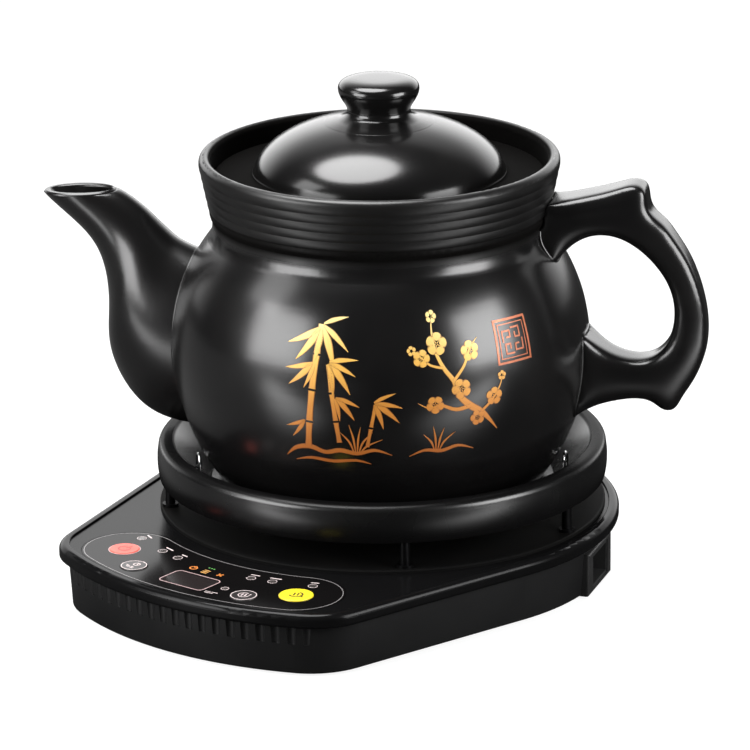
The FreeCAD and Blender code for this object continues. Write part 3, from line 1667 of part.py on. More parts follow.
def finish():
    doc.recompute()
    for thing in doc.Objects:
        if "Invalid" in thing.State or "Error" in thing.State:
            raise RuntimeError(f"{thing.Label} failed: {thing.State}")
    for name, thing in PIECES.items():
        if thing.Shape.isNull() or not thing.Shape.isValid():
            raise RuntimeError(f"{name} has no valid shape")
    for name, thing in PIECES.items():
        thing.Shape.exportStep(f"parts/{name}.step")


skin = pot_skin_tool()
piece("pot_body", make_pot_body())
doc.recompute()
piece("pot_spout", make_spout(skin))
piece("pot_handle", make_handle(skin))
piece("lid", make_lid())
piece("lid_knob", make_lid_knob())

dish = piece("heater_dish", make_dish())
piece("heating_plate", make_heating_plate())
piece("heating_element", make_element())
piece("terminal_bushings", make_bushings())
piece("plate_sensor", make_plate_sensor())
piece("thermal_cutout", make_cutout())
piece("cutout_clip", make_cutout_clip())
piece("mica_disc", make_mica())
piece("heat_shield", make_shield())
piece("dish_posts", make_posts(dish))
piece("post_screws", make_screws("post_screw", POSTS, DECK_UNDERSIDE,
                                 SHIELD_TOP + size.post_screw_bite - DECK_UNDERSIDE))
piece("pot_clips", make_clips(dish))

piece("upper_shell", make_upper_shell())
piece("lower_shell", make_lower_shell())
piece("rubber_feet", make_feet())
base_screw_seat = size.foot_height + size.head_recess
piece("base_screws", make_screws("base_screw", BOSSES, base_screw_seat,
                                 size.boss_split + size.screw_bite - base_screw_seat))

piece("panel_overlay", make_panel())
for button_name, (button_radius, button_x, button_y) in BUTTONS.items():
    piece(button_name, make_button(button_name, button_radius, button_x, button_y))
piece("display_window", make_window())
piece("display_module", make_display())
piece("light_pipes", make_lamps())
piece("lamp_chips", make_lamp_chips())
piece("push_switches", make_switches())
piece("control_board", make_control_board())
piece("board_pillars", make_board_pillars())
piece("board_screws", make_screws("board_screw", BOARD_PILLARS, size.control_board_height,
                                  size.board_thickness + (DECK_UNDERSIDE - BOARD_TOP) / 2))
piece("buzzer", make_buzzer())
piece("ribbon_sockets", make_ribbon_sockets())
piece("ribbon_cable", make_ribbon())

piece("power_board", make_power_board())
piece("power_pillars", make_power_pillars())
piece("power_screws", make_screws("power_screw", POWER_CORNERS, POWER_TOP,
                                  POWER_TOP - FLOOR_TOP, upwards=False))
piece("transformer", on_board("transformer", size.transformer_length, size.transformer_width,
                              size.transformer_height, size.transformer_x, size.transformer_y))
piece("relay", on_board("relay", size.relay_length, size.relay_width,
                        size.relay_height, size.relay_x, size.relay_y))
piece("heat_sink", make_heat_sink())
piece("capacitors", make_capacitors())
piece("terminal_block", make_terminals())
piece("heater_leads", make_heater_leads())
piece("mains_connector", make_connector())
piece("mains_leads", make_mains_leads())

piece("inlet_housing", make_inlet_housing())
piece("inlet_socket", make_inlet_socket())
piece("inlet_pins", make_inlet_pins())
finish()
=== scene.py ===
"""Herbal medicine pot: finishes, prints, paint, smoother forms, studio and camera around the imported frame."""

import math

import bmesh
import bpy
from mathutils import Matrix, Vector
from mathutils.bvhtree import BVHTree


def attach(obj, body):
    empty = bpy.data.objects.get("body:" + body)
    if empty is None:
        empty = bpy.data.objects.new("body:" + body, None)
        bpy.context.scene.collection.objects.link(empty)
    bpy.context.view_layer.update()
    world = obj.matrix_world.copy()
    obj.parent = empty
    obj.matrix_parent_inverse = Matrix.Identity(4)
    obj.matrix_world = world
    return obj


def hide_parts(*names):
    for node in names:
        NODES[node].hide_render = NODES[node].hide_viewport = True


MM = 0.001
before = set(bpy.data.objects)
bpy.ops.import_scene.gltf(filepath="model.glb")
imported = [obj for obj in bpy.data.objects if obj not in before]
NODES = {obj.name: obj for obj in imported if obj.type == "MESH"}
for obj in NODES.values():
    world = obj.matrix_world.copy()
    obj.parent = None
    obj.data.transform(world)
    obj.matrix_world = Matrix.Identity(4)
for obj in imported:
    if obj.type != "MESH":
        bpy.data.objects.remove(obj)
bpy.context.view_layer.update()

# The direction of the person at the controls, as seen in plan, and the direction to their right.
CAMERA_TURN = math.radians(38.5)
TOWARDS = Vector((math.sin(CAMERA_TURN), -math.cos(CAMERA_TURN), 0))
RIGHTWARDS = Vector((math.cos(CAMERA_TURN), math.sin(CAMERA_TURN), 0))

# The spout and handle lie in an upright plane at this turn from X, in degrees.
POT_TURN = 28

# Levels of the base and the dish, in millimetres.
PANEL_TOP = 33.5
CAP_TOP = 34.0
DISH_EDGE = 50
DISH_CREST = 69.6

# Where each finish changes, as the start and the end of the change in millimetres.
DECK_RISE = (33.2, 34.2)
DISH_FOOT = (DISH_EDGE, DISH_EDGE + 12)
DISH_OUTSIDE = (100, 106)
DISH_ROLL = (DISH_CREST - 1.9, DISH_CREST - 0.7)
COLLAR_START = (183, 189)
THROAT_START = (185, 190)
THROAT_WALL = (88.2, 89.6)
LIP_START = (219.5, 221.5)
BRIM_TOP = (213.0, 214.2)
BRIM_INSIDE = (64.8, 65.6)
DOME_START = (214.5, 220)

# The belly is two arcs turned round the pot's axis, which meet at a height in millimetres. Each has the
# distance of its centre from the axis, less than 0 beyond it, and its radius.
BELLY_HEIGHT = 121
BELLY_LOW = (-6, 115)
BELLY_HIGH = (16, 93)
# Distances round the belly are measured at this radius.
PAINT_RADIUS = 109


# -------------------------------- shader fields

class Field:
    """A value or colour on its way through a material's nodes."""

    def __init__(self, tree, socket):
        self.tree = tree
        self.socket = socket

    def join(self, kind, settings=None, sockets=None, out=0):
        """Adds a node of any kind: its settings are set first, then the values or links of its sockets."""
        node = self.tree.nodes.new(kind)
        for name, value in (settings or {}).items():
            if name == "stops":
                ramp = node.color_ramp
                while len(ramp.elements) < len(value):
                    ramp.elements.new(0.5)
                for element, (position, colour) in zip(ramp.elements, value):
                    element.position = position
                    element.color = (*colour, 1)
            else:
                setattr(node, name, value)
        for name, value in (sockets or {}).items():
            give(self.tree, node.inputs[name], value)
        return Field(self.tree, node.outputs[out])

    def maths(self, operation, *others):
        return self.join("ShaderNodeMath", {"operation": operation},
                         {i: v for i, v in enumerate((self, *others))})

    def __add__(self, other):
        return self.maths("ADD", other)

    def __mul__(self, other):
        return self.maths("MULTIPLY", other)

    def __sub__(self, other):
        return self.maths("SUBTRACT", other)

    def __rsub__(self, other):
        return self.join("ShaderNodeMath", {"operation": "SUBTRACT"}, {0: other, 1: self})

    def __truediv__(self, other):
        return self.maths("DIVIDE", other)

    def over(self, low, high, to_low=0.0, to_high=1.0):
        """Spreads the values from low to high smoothly over to_low to to_high."""
        return self.join("ShaderNodeMapRange", {"interpolation_type": "SMOOTHSTEP"},
                         {"Value": self, "From Min": low, "From Max": high,
                          "To Min": to_low, "To Max": to_high})

    def mix(self, first, second):
        """Goes from the first colour to the second as this value goes from 0 to 1."""
        return self.join("ShaderNodeMix", {"data_type": "RGBA"},
                         {"Factor": self, 6: first, 7: second}, out=2)

    def part(self, axis):
        return self.join("ShaderNodeSeparateXYZ", None, {0: self}, out="XYZ".index(axis))

    def stretched(self, x, y, z):
        return self.join("ShaderNodeMapping", None, {"Vector": self, "Scale": (x, y, z)})

    def noise(self, scale, detail=2.0, roughness=0.5):
        return self.join("ShaderNodeTexNoise", None,
                         {"Vector": self, "Scale": scale, "Detail": detail, "Roughness": roughness})


def give(tree, socket, value):
    """Sets a socket to a plain value, or links a field to it."""
    if isinstance(value, Field):
        tree.links.new(value.socket, socket)
    elif isinstance(value, (tuple, list)) and len(value) == 3 and socket.type == "RGBA":
        socket.default_value = (*value, 1)
    else:
        socket.default_value = value


class Finish:
    """One finish: a principled shader, its object coordinates and the bump that feeds it."""

    def __init__(self, name):
        self.material = bpy.data.materials.new(name)
        self.material.use_nodes = True
        self.tree = self.material.node_tree
        self.shader = self.tree.nodes["Principled BSDF"]
        self.place = self.coordinates("Object")

    def coordinates(self, which):
        node = self.tree.nodes.new("ShaderNodeTexCoord")
        return Field(self.tree, node.outputs[which])

    def set(self, **sockets):
        for name, value in sockets.items():
            give(self.tree, self.shader.inputs[name.replace("_", " ")], value)
        return self

    def height(self):
        """The height above the floor, in millimetres."""
        return self.place.part("Z") / MM

    def raised(self, height, distance):
        """The surface's direction where the height field raises it by up to that distance in millimetres."""
        return self.place.join("ShaderNodeBump", None, {"Height": height, "Distance": distance * MM})

    def bump(self, height, distance):
        return self.set(Normal=self.raised(height, distance))

    def rougher(self, extra):
        """Adds to the roughness that the finish has."""
        present = self.shader.inputs["Roughness"].links[0].from_socket
        return self.set(Roughness=Field(self.tree, present) + extra)

    def cover(self, share, **sockets):
        """Lays a second surface over the finish, as far as the share says."""
        top = self.tree.nodes.new("ShaderNodeBsdfPrincipled")
        for name, value in sockets.items():
            give(self.tree, top.inputs[name.replace("_", " ")], value)
        first, second = (Field(self.tree, node.outputs["BSDF"]) for node in (self.shader, top))
        both = self.place.join("ShaderNodeMixShader", None, {0: share, 1: first, 2: second})
        give(self.tree, self.tree.nodes["Material Output"].inputs["Surface"], both)


def plain(name, colour, second, roughness, spread, cell, grain, depth, **sockets):
    """A moulded, painted or cast finish: two near tones in soft cells, uneven gloss and a fine grain."""
    made = Finish(name)
    soft = made.place.noise(1 / (cell * MM), 3)
    fine = made.place.noise(1 / (grain * MM), 2)
    made.set(Base_Color=soft.over(0.3, 0.7).mix(colour, second),
             Roughness=soft * spread + (roughness - spread / 2))
    made.bump(fine, depth)
    return made.set(**sockets)


def brushed(name, colour, second, roughness, spread, stretch, depth):
    """Bare metal with fine drawn lines along one axis."""
    made = Finish(name)
    lines = made.place.stretched(*stretch).noise(1, 3, 0.6)
    stain = made.place.noise(70, 3)
    made.set(Base_Color=stain.over(0.35, 0.7).mix(colour, second),
             Roughness=lines * spread + (roughness - spread / 2), Metallic=1.0)
    return made.bump(lines, depth)


def dulled(made, share):
    """Takes a share of the shine off a finish, by mixing in a near-black that hardly reflects."""
    made.cover(share, Base_Color=(0.0032, 0.0031, 0.0032), Roughness=0.9, Specular_IOR_Level=0.0)


def dull_clay_and_painted_shade(made, mask):
    """Shows dull, gritty, nearly black clay where the mask is 1, darker than the glaze: partly bare clay and
    partly painted shade.
    """
    grit = made.place.noise(1100, 3)
    made.cover(mask, Base_Color=grit.over(0.3, 0.75).mix((0.0012, 0.0011, 0.0010), (0.0030, 0.0027, 0.0025)),
               Roughness=grit * 0.2 + 0.75, Specular_IOR_Level=0.03, Normal=made.raised(grit, 0.03))


def glaze_finish(name, colour, second, roughness, spread, line_depth, peel_depth):
    """Fired black glaze over thrown clay: soft cloud in the tone, faint throwing lines and orange peel."""
    made = Finish(name)
    cloud = made.place.noise(22, 4, 0.55)
    lines = made.place.stretched(6, 6, 260).noise(1, 2, 0.4)
    peel = made.place.noise(420, 2)
    made.set(Base_Color=cloud.over(0.3, 0.75).mix(colour, second),
             Roughness=cloud * spread + (roughness - spread / 2))
    return made.bump(lines * (line_depth / peel_depth) + peel, peel_depth)


# -------------------------------- finishes of the frame's nodes

def distance_from_axis(place):
    """The distance from the pot's axis, in millimetres."""
    return (place.part("X").maths("POWER", 2) + place.part("Y").maths("POWER", 2)).maths("SQRT") / MM


POT_GLAZE = ((0.0030, 0.0029, 0.0030), (0.0050, 0.0047, 0.0046), 0.235, 0.06, 0.024, 0.006)
belly_glaze = glaze_finish("belly glaze", *POT_GLAZE)
limb_glaze = glaze_finish("limb glaze", *POT_GLAZE)
lid_glaze = glaze_finish("lid glaze", (0.0030, 0.0029, 0.0030), (0.0048, 0.0046, 0.0045),
                         0.185, 0.04, 0.005, 0.0025)

# The pot's throat and the lid's brim are shown as dull, nearly black clay: partly left unglazed, so that the
# lid doesn't stick in the firing, and partly painted shade inside the mouth where the lid sits.
# The collar below its lip carries a thinner, duller glaze, and the foot of the lid's dome is darkened and
# dulled as painted shade where it sinks into the mouth.
collar = belly_glaze.height().over(*COLLAR_START)
collar_wear = collar * belly_glaze.height().over(*LIP_START, 0.32, 0)
throat_wall = distance_from_axis(belly_glaze.place).over(*THROAT_WALL, 1, 0)
throat = throat_wall * belly_glaze.height().over(*THROAT_START)
belly_glaze.rougher(collar * 0.12)
# Painted shade: the throat inside the mouth is darkened and dulled. The collar only gets a thinner, duller
# glaze.
dull_clay_and_painted_shade(belly_glaze, throat.maths("MAXIMUM", collar_wear))
# Painted shade: the brim and the dome's foot are darkened and dulled where the lid sinks into the mouth. The
# brim is also bare clay.
brim = lid_glaze.height().over(*BRIM_TOP, 1, 0) * distance_from_axis(lid_glaze.place).over(*BRIM_INSIDE)
dull_clay_and_painted_shade(lid_glaze, brim.maths("MAXIMUM", lid_glaze.height().over(*DOME_START, 0.6, 0)))

# The dish's outer foot and its crest are dull, as the enamel is wiped thin there.
dish_enamel = plain("dish enamel", (0.0018, 0.0018, 0.0019), (0.0030, 0.0030, 0.0030),
                    0.27, 0.06, 30, 0.9, 0.0025)
outer_foot = (dish_enamel.height().over(*DISH_FOOT, 0.95, 0)
              * distance_from_axis(dish_enamel.place).over(*DISH_OUTSIDE))
dulled(dish_enamel, outer_foot + dish_enamel.height().over(*DISH_ROLL, 0, 0.8))

deck_gloss = plain("deck gloss", (0.0026, 0.0026, 0.0028), (0.0036, 0.0036, 0.0038),
                   0.10, 0, 60, 2.5, 0.0009, Specular_IOR_Level=0.22)
deck_gloss.rougher(deck_gloss.height().over(*DECK_RISE, 0.14, 0))
dulled(deck_gloss, 0.5)
tray_satin = plain("tray satin", (0.0050, 0.0050, 0.0052), (0.0070, 0.0070, 0.0072),
                   0.40, 0.08, 40, 0.35, 0.012, Specular_IOR_Level=0.32)
socket_satin = plain("socket satin", (0.012, 0.012, 0.012), (0.016, 0.016, 0.016), 0.42, 0.08, 20, 0.3, 0.012)
foot_rubber = plain("foot rubber", (0.020, 0.020, 0.020), (0.028, 0.027, 0.026), 0.72, 0.1, 6, 0.25, 0.03)
shield_paint = plain("shield paint", (0.0022, 0.0022, 0.0022), (0.0035, 0.0033, 0.0031),
                     0.7, 0.12, 25, 0.5, 0.02, Specular_IOR_Level=0.06)
panel_film = plain("panel film", (0.0034, 0.0030, 0.0030), (0.0044, 0.0038, 0.0038),
                   0.12, 0.03, 35, 0.6, 0.002, Specular_IOR_Level=0.26)
dulled(panel_film, 0.5)
red_rubber = plain("red cap", (0.58, 0.075, 0.048), (0.52, 0.060, 0.040), 0.38, 0.08, 7, 0.3, 0.008,
                   Subsurface_Weight=0.08, Subsurface_Scale=0.8 * MM)
yellow_rubber = plain("yellow cap", (0.66, 0.53, 0.020), (0.60, 0.47, 0.016), 0.38, 0.08, 7, 0.3, 0.008,
                      Subsurface_Weight=0.08, Subsurface_Scale=0.8 * MM)
pale_moulding = plain("pale moulding", (0.62, 0.58, 0.56), (0.55, 0.51, 0.49), 0.40, 0.08, 9, 0.3, 0.008)
dark_rubber = plain("dark cap", (0.014, 0.012, 0.012), (0.020, 0.017, 0.017), 0.34, 0.08, 7, 0.3, 0.008)
part_black = plain("part black", (0.016, 0.016, 0.017), (0.024, 0.024, 0.025), 0.48, 0.1, 5, 0.25, 0.012)
cable_grey = plain("cable grey", (0.30, 0.31, 0.32), (0.24, 0.25, 0.26), 0.5, 0.1, 6, 0.3, 0.015)
lead_sleeve = plain("lead sleeve", (0.42, 0.40, 0.36), (0.34, 0.32, 0.28), 0.66, 0.1, 4, 0.35, 0.05)
bushing_ceramic = plain("bushing ceramic", (0.74, 0.70, 0.62), (0.62, 0.57, 0.48), 0.35, 0.14, 3, 0.3, 0.01)
cast_plate = plain("cast plate", (0.52, 0.52, 0.53), (0.38, 0.38, 0.39), 0.5, 0.16, 6, 0.45, 0.035,
                   Metallic=1.0)
element_steel = brushed("element steel", (0.36, 0.34, 0.32), (0.24, 0.20, 0.18), 0.45, 0.18,
                        (300, 300, 2600), 0.01)
zinc_steel = brushed("zinc steel", (0.66, 0.67, 0.70), (0.52, 0.52, 0.54), 0.30, 0.14, (2600, 2600, 500), 0.006)
black_steel = brushed("black steel", (0.030, 0.030, 0.032), (0.016, 0.016, 0.017), 0.34, 0.10,
                      (2600, 2600, 500), 0.004)
dulled(black_steel, 0.5)
bright_wire = brushed("bright wire", (0.84, 0.84, 0.85), (0.70, 0.70, 0.71), 0.13, 0.06, (900, 900, 900), 0.002)
core_steel = brushed("core steel", (0.30, 0.31, 0.33), (0.20, 0.20, 0.21), 0.5, 0.2, (200, 200, 6500), 0.05)
sink_alloy = brushed("sink alloy", (0.60, 0.61, 0.62), (0.50, 0.50, 0.51), 0.36, 0.12, (700, 700, 4200), 0.012)
mica_sheet = plain("mica sheet", (0.46, 0.40, 0.28), (0.62, 0.56, 0.42), 0.28, 0.2, 5, 0.8, 0.03,
                   Coat_Weight=0.25, Coat_Roughness=0.15)


def board_finish():
    """Green lacquered board: copper runs show through the lacquer as a lighter grid with round pads."""
    made = Finish("board green")
    runs = made.place.join("ShaderNodeTexBrick",
                           {"offset": 0.5, "squash": 1.0},
                           {"Vector": made.place, "Scale": 210, "Mortar Size": 0.035,
                            "Mortar Smooth": 0.3, "Brick Width": 0.9, "Row Height": 0.34}, out=1)
    pads = made.place.join("ShaderNodeTexVoronoi", {"feature": "F1"},
                           {"Vector": made.place, "Scale": 150}).over(0.20, 0.24, 1, 0)
    mask = runs.maths("MAXIMUM", pads * 0.8)
    stain = made.place.noise(60, 3)
    made.set(Base_Color=mask.mix((0.012, 0.085, 0.030), (0.045, 0.20, 0.075)),
             Roughness=stain * 0.12 + 0.24)
    return made.bump(mask, 0.03)


def clear_finish(name, tint, roughness, cell):
    """Clear moulding that lets what lies behind it show, a little uneven in its polish."""
    made = Finish(name)
    haze = made.place.noise(1 / (cell * MM), 3)
    made.set(Base_Color=haze.over(0.3, 0.7).mix(tint, tuple(v * 0.9 for v in tint)),
             Roughness=haze * 0.04 + roughness, Transmission_Weight=0.9, IOR=1.49)
    return made.bump(haze, 0.002)


board_green = board_finish()
window_clear = clear_finish("window smoke", (0.16, 0.13, 0.13), 0.04, 8)
lens_clear = clear_finish("lens", (0.50, 0.44, 0.42), 0.10, 3)

WEARS = {
    belly_glaze: "pot_body",
    limb_glaze: "pot_spout pot_handle",
    lid_glaze: "lid lid_knob",
    dish_enamel: "heater_dish",
    cast_plate: "heating_plate",
    element_steel: "heating_element",
    bushing_ceramic: "terminal_bushings",
    zinc_steel: "plate_sensor thermal_cutout cutout_clip post_screws base_screws board_screws"
                " power_screws inlet_pins",
    black_steel: "dish_posts",
    bright_wire: "pot_clips",
    mica_sheet: "mica_disc",
    shield_paint: "heat_shield",
    deck_gloss: "upper_shell",
    tray_satin: "lower_shell board_pillars power_pillars",
    socket_satin: "inlet_housing inlet_socket",
    foot_rubber: "rubber_feet",
    panel_film: "panel_overlay",
    red_rubber: "red_button",
    yellow_rubber: "yellow_button",
    dark_rubber: "right_button left_button",
    pale_moulding: "lamp_chips ribbon_sockets terminal_block mains_connector",
    window_clear: "display_window",
    lens_clear: "light_pipes",
    board_green: "control_board power_board",
    part_black: "display_module push_switches buzzer relay capacitors",
    cable_grey: "ribbon_cable",
    core_steel: "transformer",
    sink_alloy: "heat_sink",
    lead_sleeve: "heater_leads mains_leads",
}
for worn, names in WEARS.items():
    for name in names.split():
        NODES[name].material_slots[0].material = worn.material


# -------------------------------- inks and paints of the added pieces

def ink(name, colour, second, roughness=0.42, **sockets):
    """Screen-printed ink: even, with slightly thin spots and a fine tooth."""
    return plain(name, colour, second, roughness, 0.08, 1.6, 0.25, 0.004, **sockets)


white_ink = ink("white ink", (0.62, 0.53, 0.52), (0.52, 0.43, 0.43))
grey_ink = ink("grey ink", (0.20, 0.19, 0.19), (0.16, 0.15, 0.15))
rose_ink = ink("rose ink", (0.44, 0.31, 0.31), (0.38, 0.26, 0.26))
dark_ink = ink("dark ink", (0.030, 0.022, 0.006), (0.045, 0.034, 0.010))
maroon_ink = ink("maroon ink", (0.20, 0.022, 0.016), (0.17, 0.018, 0.012))
orange_ink = ink("orange ink", (0.62, 0.20, 0.035), (0.54, 0.16, 0.028))
amber_ink = ink("amber ink", (0.50, 0.26, 0.07), (0.42, 0.21, 0.06))
green_ink = ink("green ink", (0.10, 0.34, 0.075), (0.08, 0.28, 0.06))
copper_ink = ink("copper ink", (0.44, 0.125, 0.048), (0.34, 0.085, 0.034), 0.36, Metallic=0.25)


# The gold goes from its lowest tone to its palest from this level up, over this rise, in millimetres.
GOLD_FOOT = 97
GOLD_RISE = 78


def gold_finish():
    """Brushed-on gold: pale yellow above, gold, then orange below, darker along each stroke's edges."""
    made = Finish("gold paint")
    height = made.height() + made.place.noise(40, 2) * 10
    tone = made.place.join("ShaderNodeValToRGB", {"stops": [
        (0.0, (0.42, 0.12, 0.020)), (0.34, (0.56, 0.22, 0.032)),
        (0.66, (0.74, 0.43, 0.085)), (1.0, (0.86, 0.72, 0.32))]},
        {"Fac": (height - GOLD_FOOT) / GOLD_RISE})
    across = made.coordinates("UV").part("Y")
    edge = (across - 0.5).maths("ABSOLUTE").over(0.34, 0.47)
    streak = made.coordinates("UV").stretched(0.6, 9, 1).noise(3, 3)
    shade = edge * 0.75 + streak.over(0.35, 0.75) * 0.22
    made.set(Base_Color=shade.mix(tone, (0.16, 0.045, 0.012)),
             Roughness=streak * 0.16 + 0.30, Metallic=0.15)
    return made.bump(streak - edge, 0.03)


gold_paint = gold_finish()


# -------------------------------- modelling helpers

def start_clean():
    """Leaves edit mode and deselects everything, so that an operator acts only on the new piece."""
    if bpy.context.object and bpy.context.object.mode != "OBJECT":
        bpy.ops.object.mode_set(mode="OBJECT")
    bpy.ops.object.select_all(action="DESELECT")


def take_up(piece):
    """Leaves the piece as the one that is selected and active."""
    start_clean()
    piece.select_set(True)
    bpy.context.view_layer.objects.active = piece


def linked(name, data):
    """A new object of this mesh or curve, taken up."""
    piece = bpy.data.objects.new(name, data)
    bpy.context.collection.objects.link(piece)
    take_up(piece)
    return piece


def empty_piece():
    """A new mesh in edit mode with nothing in it yet."""
    start_clean()
    bpy.ops.mesh.primitive_plane_add(size=MM)
    bpy.ops.object.mode_set(mode="EDIT")
    bpy.ops.mesh.select_all(action="SELECT")
    bpy.ops.mesh.delete(type="VERT")
    return bpy.context.object


def modify(piece, kind, **settings):
    """Adds a modifier with its settings and applies it."""
    modifier = piece.modifiers.new(kind, kind)
    for name, value in settings.items():
        setattr(modifier, name, value)
    bpy.ops.object.modifier_apply(modifier=modifier.name)


def settle(piece, name, finish, body, smooth=40):
    """Names a finished mesh, gives it its finish, puts its place in its mesh and lets it ride."""
    take_up(piece)
    bpy.ops.object.transform_apply(location=True, rotation=True, scale=True)
    bpy.ops.object.shade_smooth_by_angle(angle=math.radians(smooth))
    piece.name = name
    piece.data.name = name
    piece.data.materials.clear()
    piece.data.materials.append(finish.material)
    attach(piece, body)


def belly_radius(height):
    """The belly's outside radius at a height, in millimetres."""
    inset, bulge = BELLY_LOW if height < BELLY_HEIGHT else BELLY_HIGH
    return inset + math.sqrt(bulge ** 2 - (height - BELLY_HEIGHT) ** 2)


def on_belly(across, height):
    """The point just off the belly so far across from the middle of its front, measured round the belly."""
    turn = across / PAINT_RADIUS
    direction = TOWARDS * math.cos(turn) + RIGHTWARDS * math.sin(turn)
    point = direction * (belly_radius(height) + PAINT_LIFT)
    return Vector((point.x, point.y, height)) * MM


def smooth_path(points, steps):
    """Points along a smooth line through the given ones; each has a place across, a height and a width."""
    padded = [points[0], *points, points[-1]]
    line = []
    for i in range(len(points) - 1):
        a, b, c, d = padded[i:i + 4]
        for k in range(steps):
            t = k / steps
            line.append([0.5 * (2 * q + (r - p) * t + (2 * p - 5 * q + 4 * r - s) * t * t
                                + (3 * q - p - 3 * r + s) * t ** 3)
                         for p, q, r, s in zip(a, b, c, d)])
    line.append(list(points[-1]))
    return line


# A brush line's quads across it, its steps between two given spots, and its least width.
BRUSH_ROWS = 4
BRUSH_STEPS = 5
THINNEST_STROKE = 0.12
# Paint starts just off the belly, and is this thick.
PAINT_LIFT = 0.10
PAINT_THICKNESS = 0.12


def brush_sheet(line):
    """Adds a grid to the mesh in edit mode and lays it along a brush line on the belly."""
    count = len(line)
    bpy.ops.mesh.select_all(action="DESELECT")
    bpy.ops.mesh.primitive_grid_add(x_subdivisions=count - 1, y_subdivisions=BRUSH_ROWS, size=1,
                                    calc_uvs=True)
    sheet = bmesh.from_edit_mesh(bpy.context.object.data)
    corners = [v for v in sheet.verts if v.select]
    corners.sort(key=lambda v: (round(v.co.x, 5), round(v.co.y, 5)))
    for i, (across, height, width) in enumerate(line):
        before = line[max(i - 1, 0)]
        after = line[min(i + 1, count - 1)]
        run = Vector((after[0] - before[0], after[1] - before[1]))
        run.normalize()
        for row in range(BRUSH_ROWS + 1):
            offset = (row / BRUSH_ROWS - 0.5) * max(width, THINNEST_STROKE)
            corners[i * (BRUSH_ROWS + 1) + row].co = on_belly(
                across - run.y * offset, height + run.x * offset)
    bmesh.update_edit_mesh(bpy.context.object.data)


def paint(name, lines, finish):
    """A painted motif of several brush lines, as one thin skin on the belly."""
    piece = empty_piece()
    for line in lines:
        brush_sheet(smooth_path(line, BRUSH_STEPS))
    bpy.ops.mesh.select_all(action="SELECT")
    bpy.ops.object.mode_set(mode="OBJECT")
    face_outwards(piece)
    modify(piece, "SOLIDIFY", thickness=PAINT_THICKNESS * MM, offset=1)
    settle(piece, name, finish, "pot")


def face_outwards(piece):
    """Turns each face of an open sheet on the belly away from the pot's axis."""
    sheet = bmesh.new()
    sheet.from_mesh(piece.data)
    for face in sheet.faces:
        middle = face.calc_center_median()
        face.normal_update()
        if face.normal.x * middle.x + face.normal.y * middle.y < 0:
            face.normal_flip()
    sheet.to_mesh(piece.data)
    sheet.free()


# -------------------------------- flat prints on the base

def panel_frame(radius, angle):
    """A place on the panel by its radius and angle from the nose, with its ways across and to the pot."""
    turn = math.radians(angle)
    across = Vector((math.cos(turn), math.sin(turn), 0))
    inwards = Vector((-math.sin(turn), math.cos(turn), 0))
    return Vector((radius * math.sin(turn), -radius * math.cos(turn), 0)), across, inwards


def rounded(half_x, half_y, corner, steps=8):
    """The outline of a rectangle with round corners; a disc where the corner is as large as both halves."""
    points = []
    for k, (sx, sy) in enumerate(((1, 1), (-1, 1), (-1, -1), (1, -1))):
        for i in range(steps + 1):
            turn = math.radians(90 * (k + i / steps))
            points.append((sx * (half_x - corner) + corner * math.cos(turn),
                           sy * (half_y - corner) + corner * math.sin(turn)))
    kept = [points[0]]
    for point in points[1:]:
        if math.dist(point, kept[-1]) > 1e-4:
            kept.append(point)
    if math.dist(kept[0], kept[-1]) < 1e-4:
        kept.pop()
    return kept


def bar(x, y, half_x, half_y, turn=0.0):
    """A printed bar with its middle at x, y, turned by degrees."""
    c, s = math.cos(math.radians(turn)), math.sin(math.radians(turn))
    return [(x + px * c - py * s, y + px * s + py * c)
            for px, py in rounded(half_x, half_y, min(half_x, half_y) * 0.9, 3)]


def disc(x, y, radius):
    return [(x + px, y + py) for px, py in rounded(radius, radius, radius, 6)]


def arc(x, y, radius, line, start, end, steps=24):
    """A printed arc of a given line width, from one angle to another in degrees."""
    turns = [math.radians(start + (end - start) * i / steps) for i in range(steps + 1)]
    outer = [(x + (radius + line / 2) * math.cos(t), y + (radius + line / 2) * math.sin(t)) for t in turns]
    inner = [(x + (radius - line / 2) * math.cos(t), y + (radius - line / 2) * math.sin(t)) for t in turns]
    return outer + inner[::-1]


PRINT_LIFT = 0.01
PRINT_THICKNESS = 0.05


def stamp(name, shapes, radius, angle, finish, body="base", top=PANEL_TOP):
    """A print of closed shapes at one place on the panel or on a cap, as one thin skin.

    A shape is filled, or drawn as a line of some width along its outline where that width stands beside it."""
    centre, across, inwards = panel_frame(radius, angle)
    piece = empty_piece()
    for shape in shapes:
        outline, line = shape if isinstance(shape, tuple) else (shape, None)
        bpy.ops.mesh.select_all(action="DESELECT")
        bpy.ops.mesh.primitive_circle_add(vertices=len(outline), radius=1, fill_type="NGON")
        sheet = bmesh.from_edit_mesh(piece.data)
        face = next(f for f in sheet.faces if f.select)
        for vertex, (x, y) in zip(list(face.verts), outline):
            vertex.co = (centre + across * x + inwards * y + Vector((0, 0, top + PRINT_LIFT))) * MM
        face.normal_update()
        if face.normal.z < 0:
            face.normal_flip()
        bmesh.update_edit_mesh(piece.data)
        if line:
            bpy.ops.mesh.inset(thickness=line * MM, depth=0)
            bpy.ops.mesh.delete(type="FACE")
    bpy.ops.object.mode_set(mode="OBJECT")
    modify(piece, "SOLIDIFY", thickness=PRINT_THICKNESS * MM, offset=1)
    settle(piece, name, finish, body)


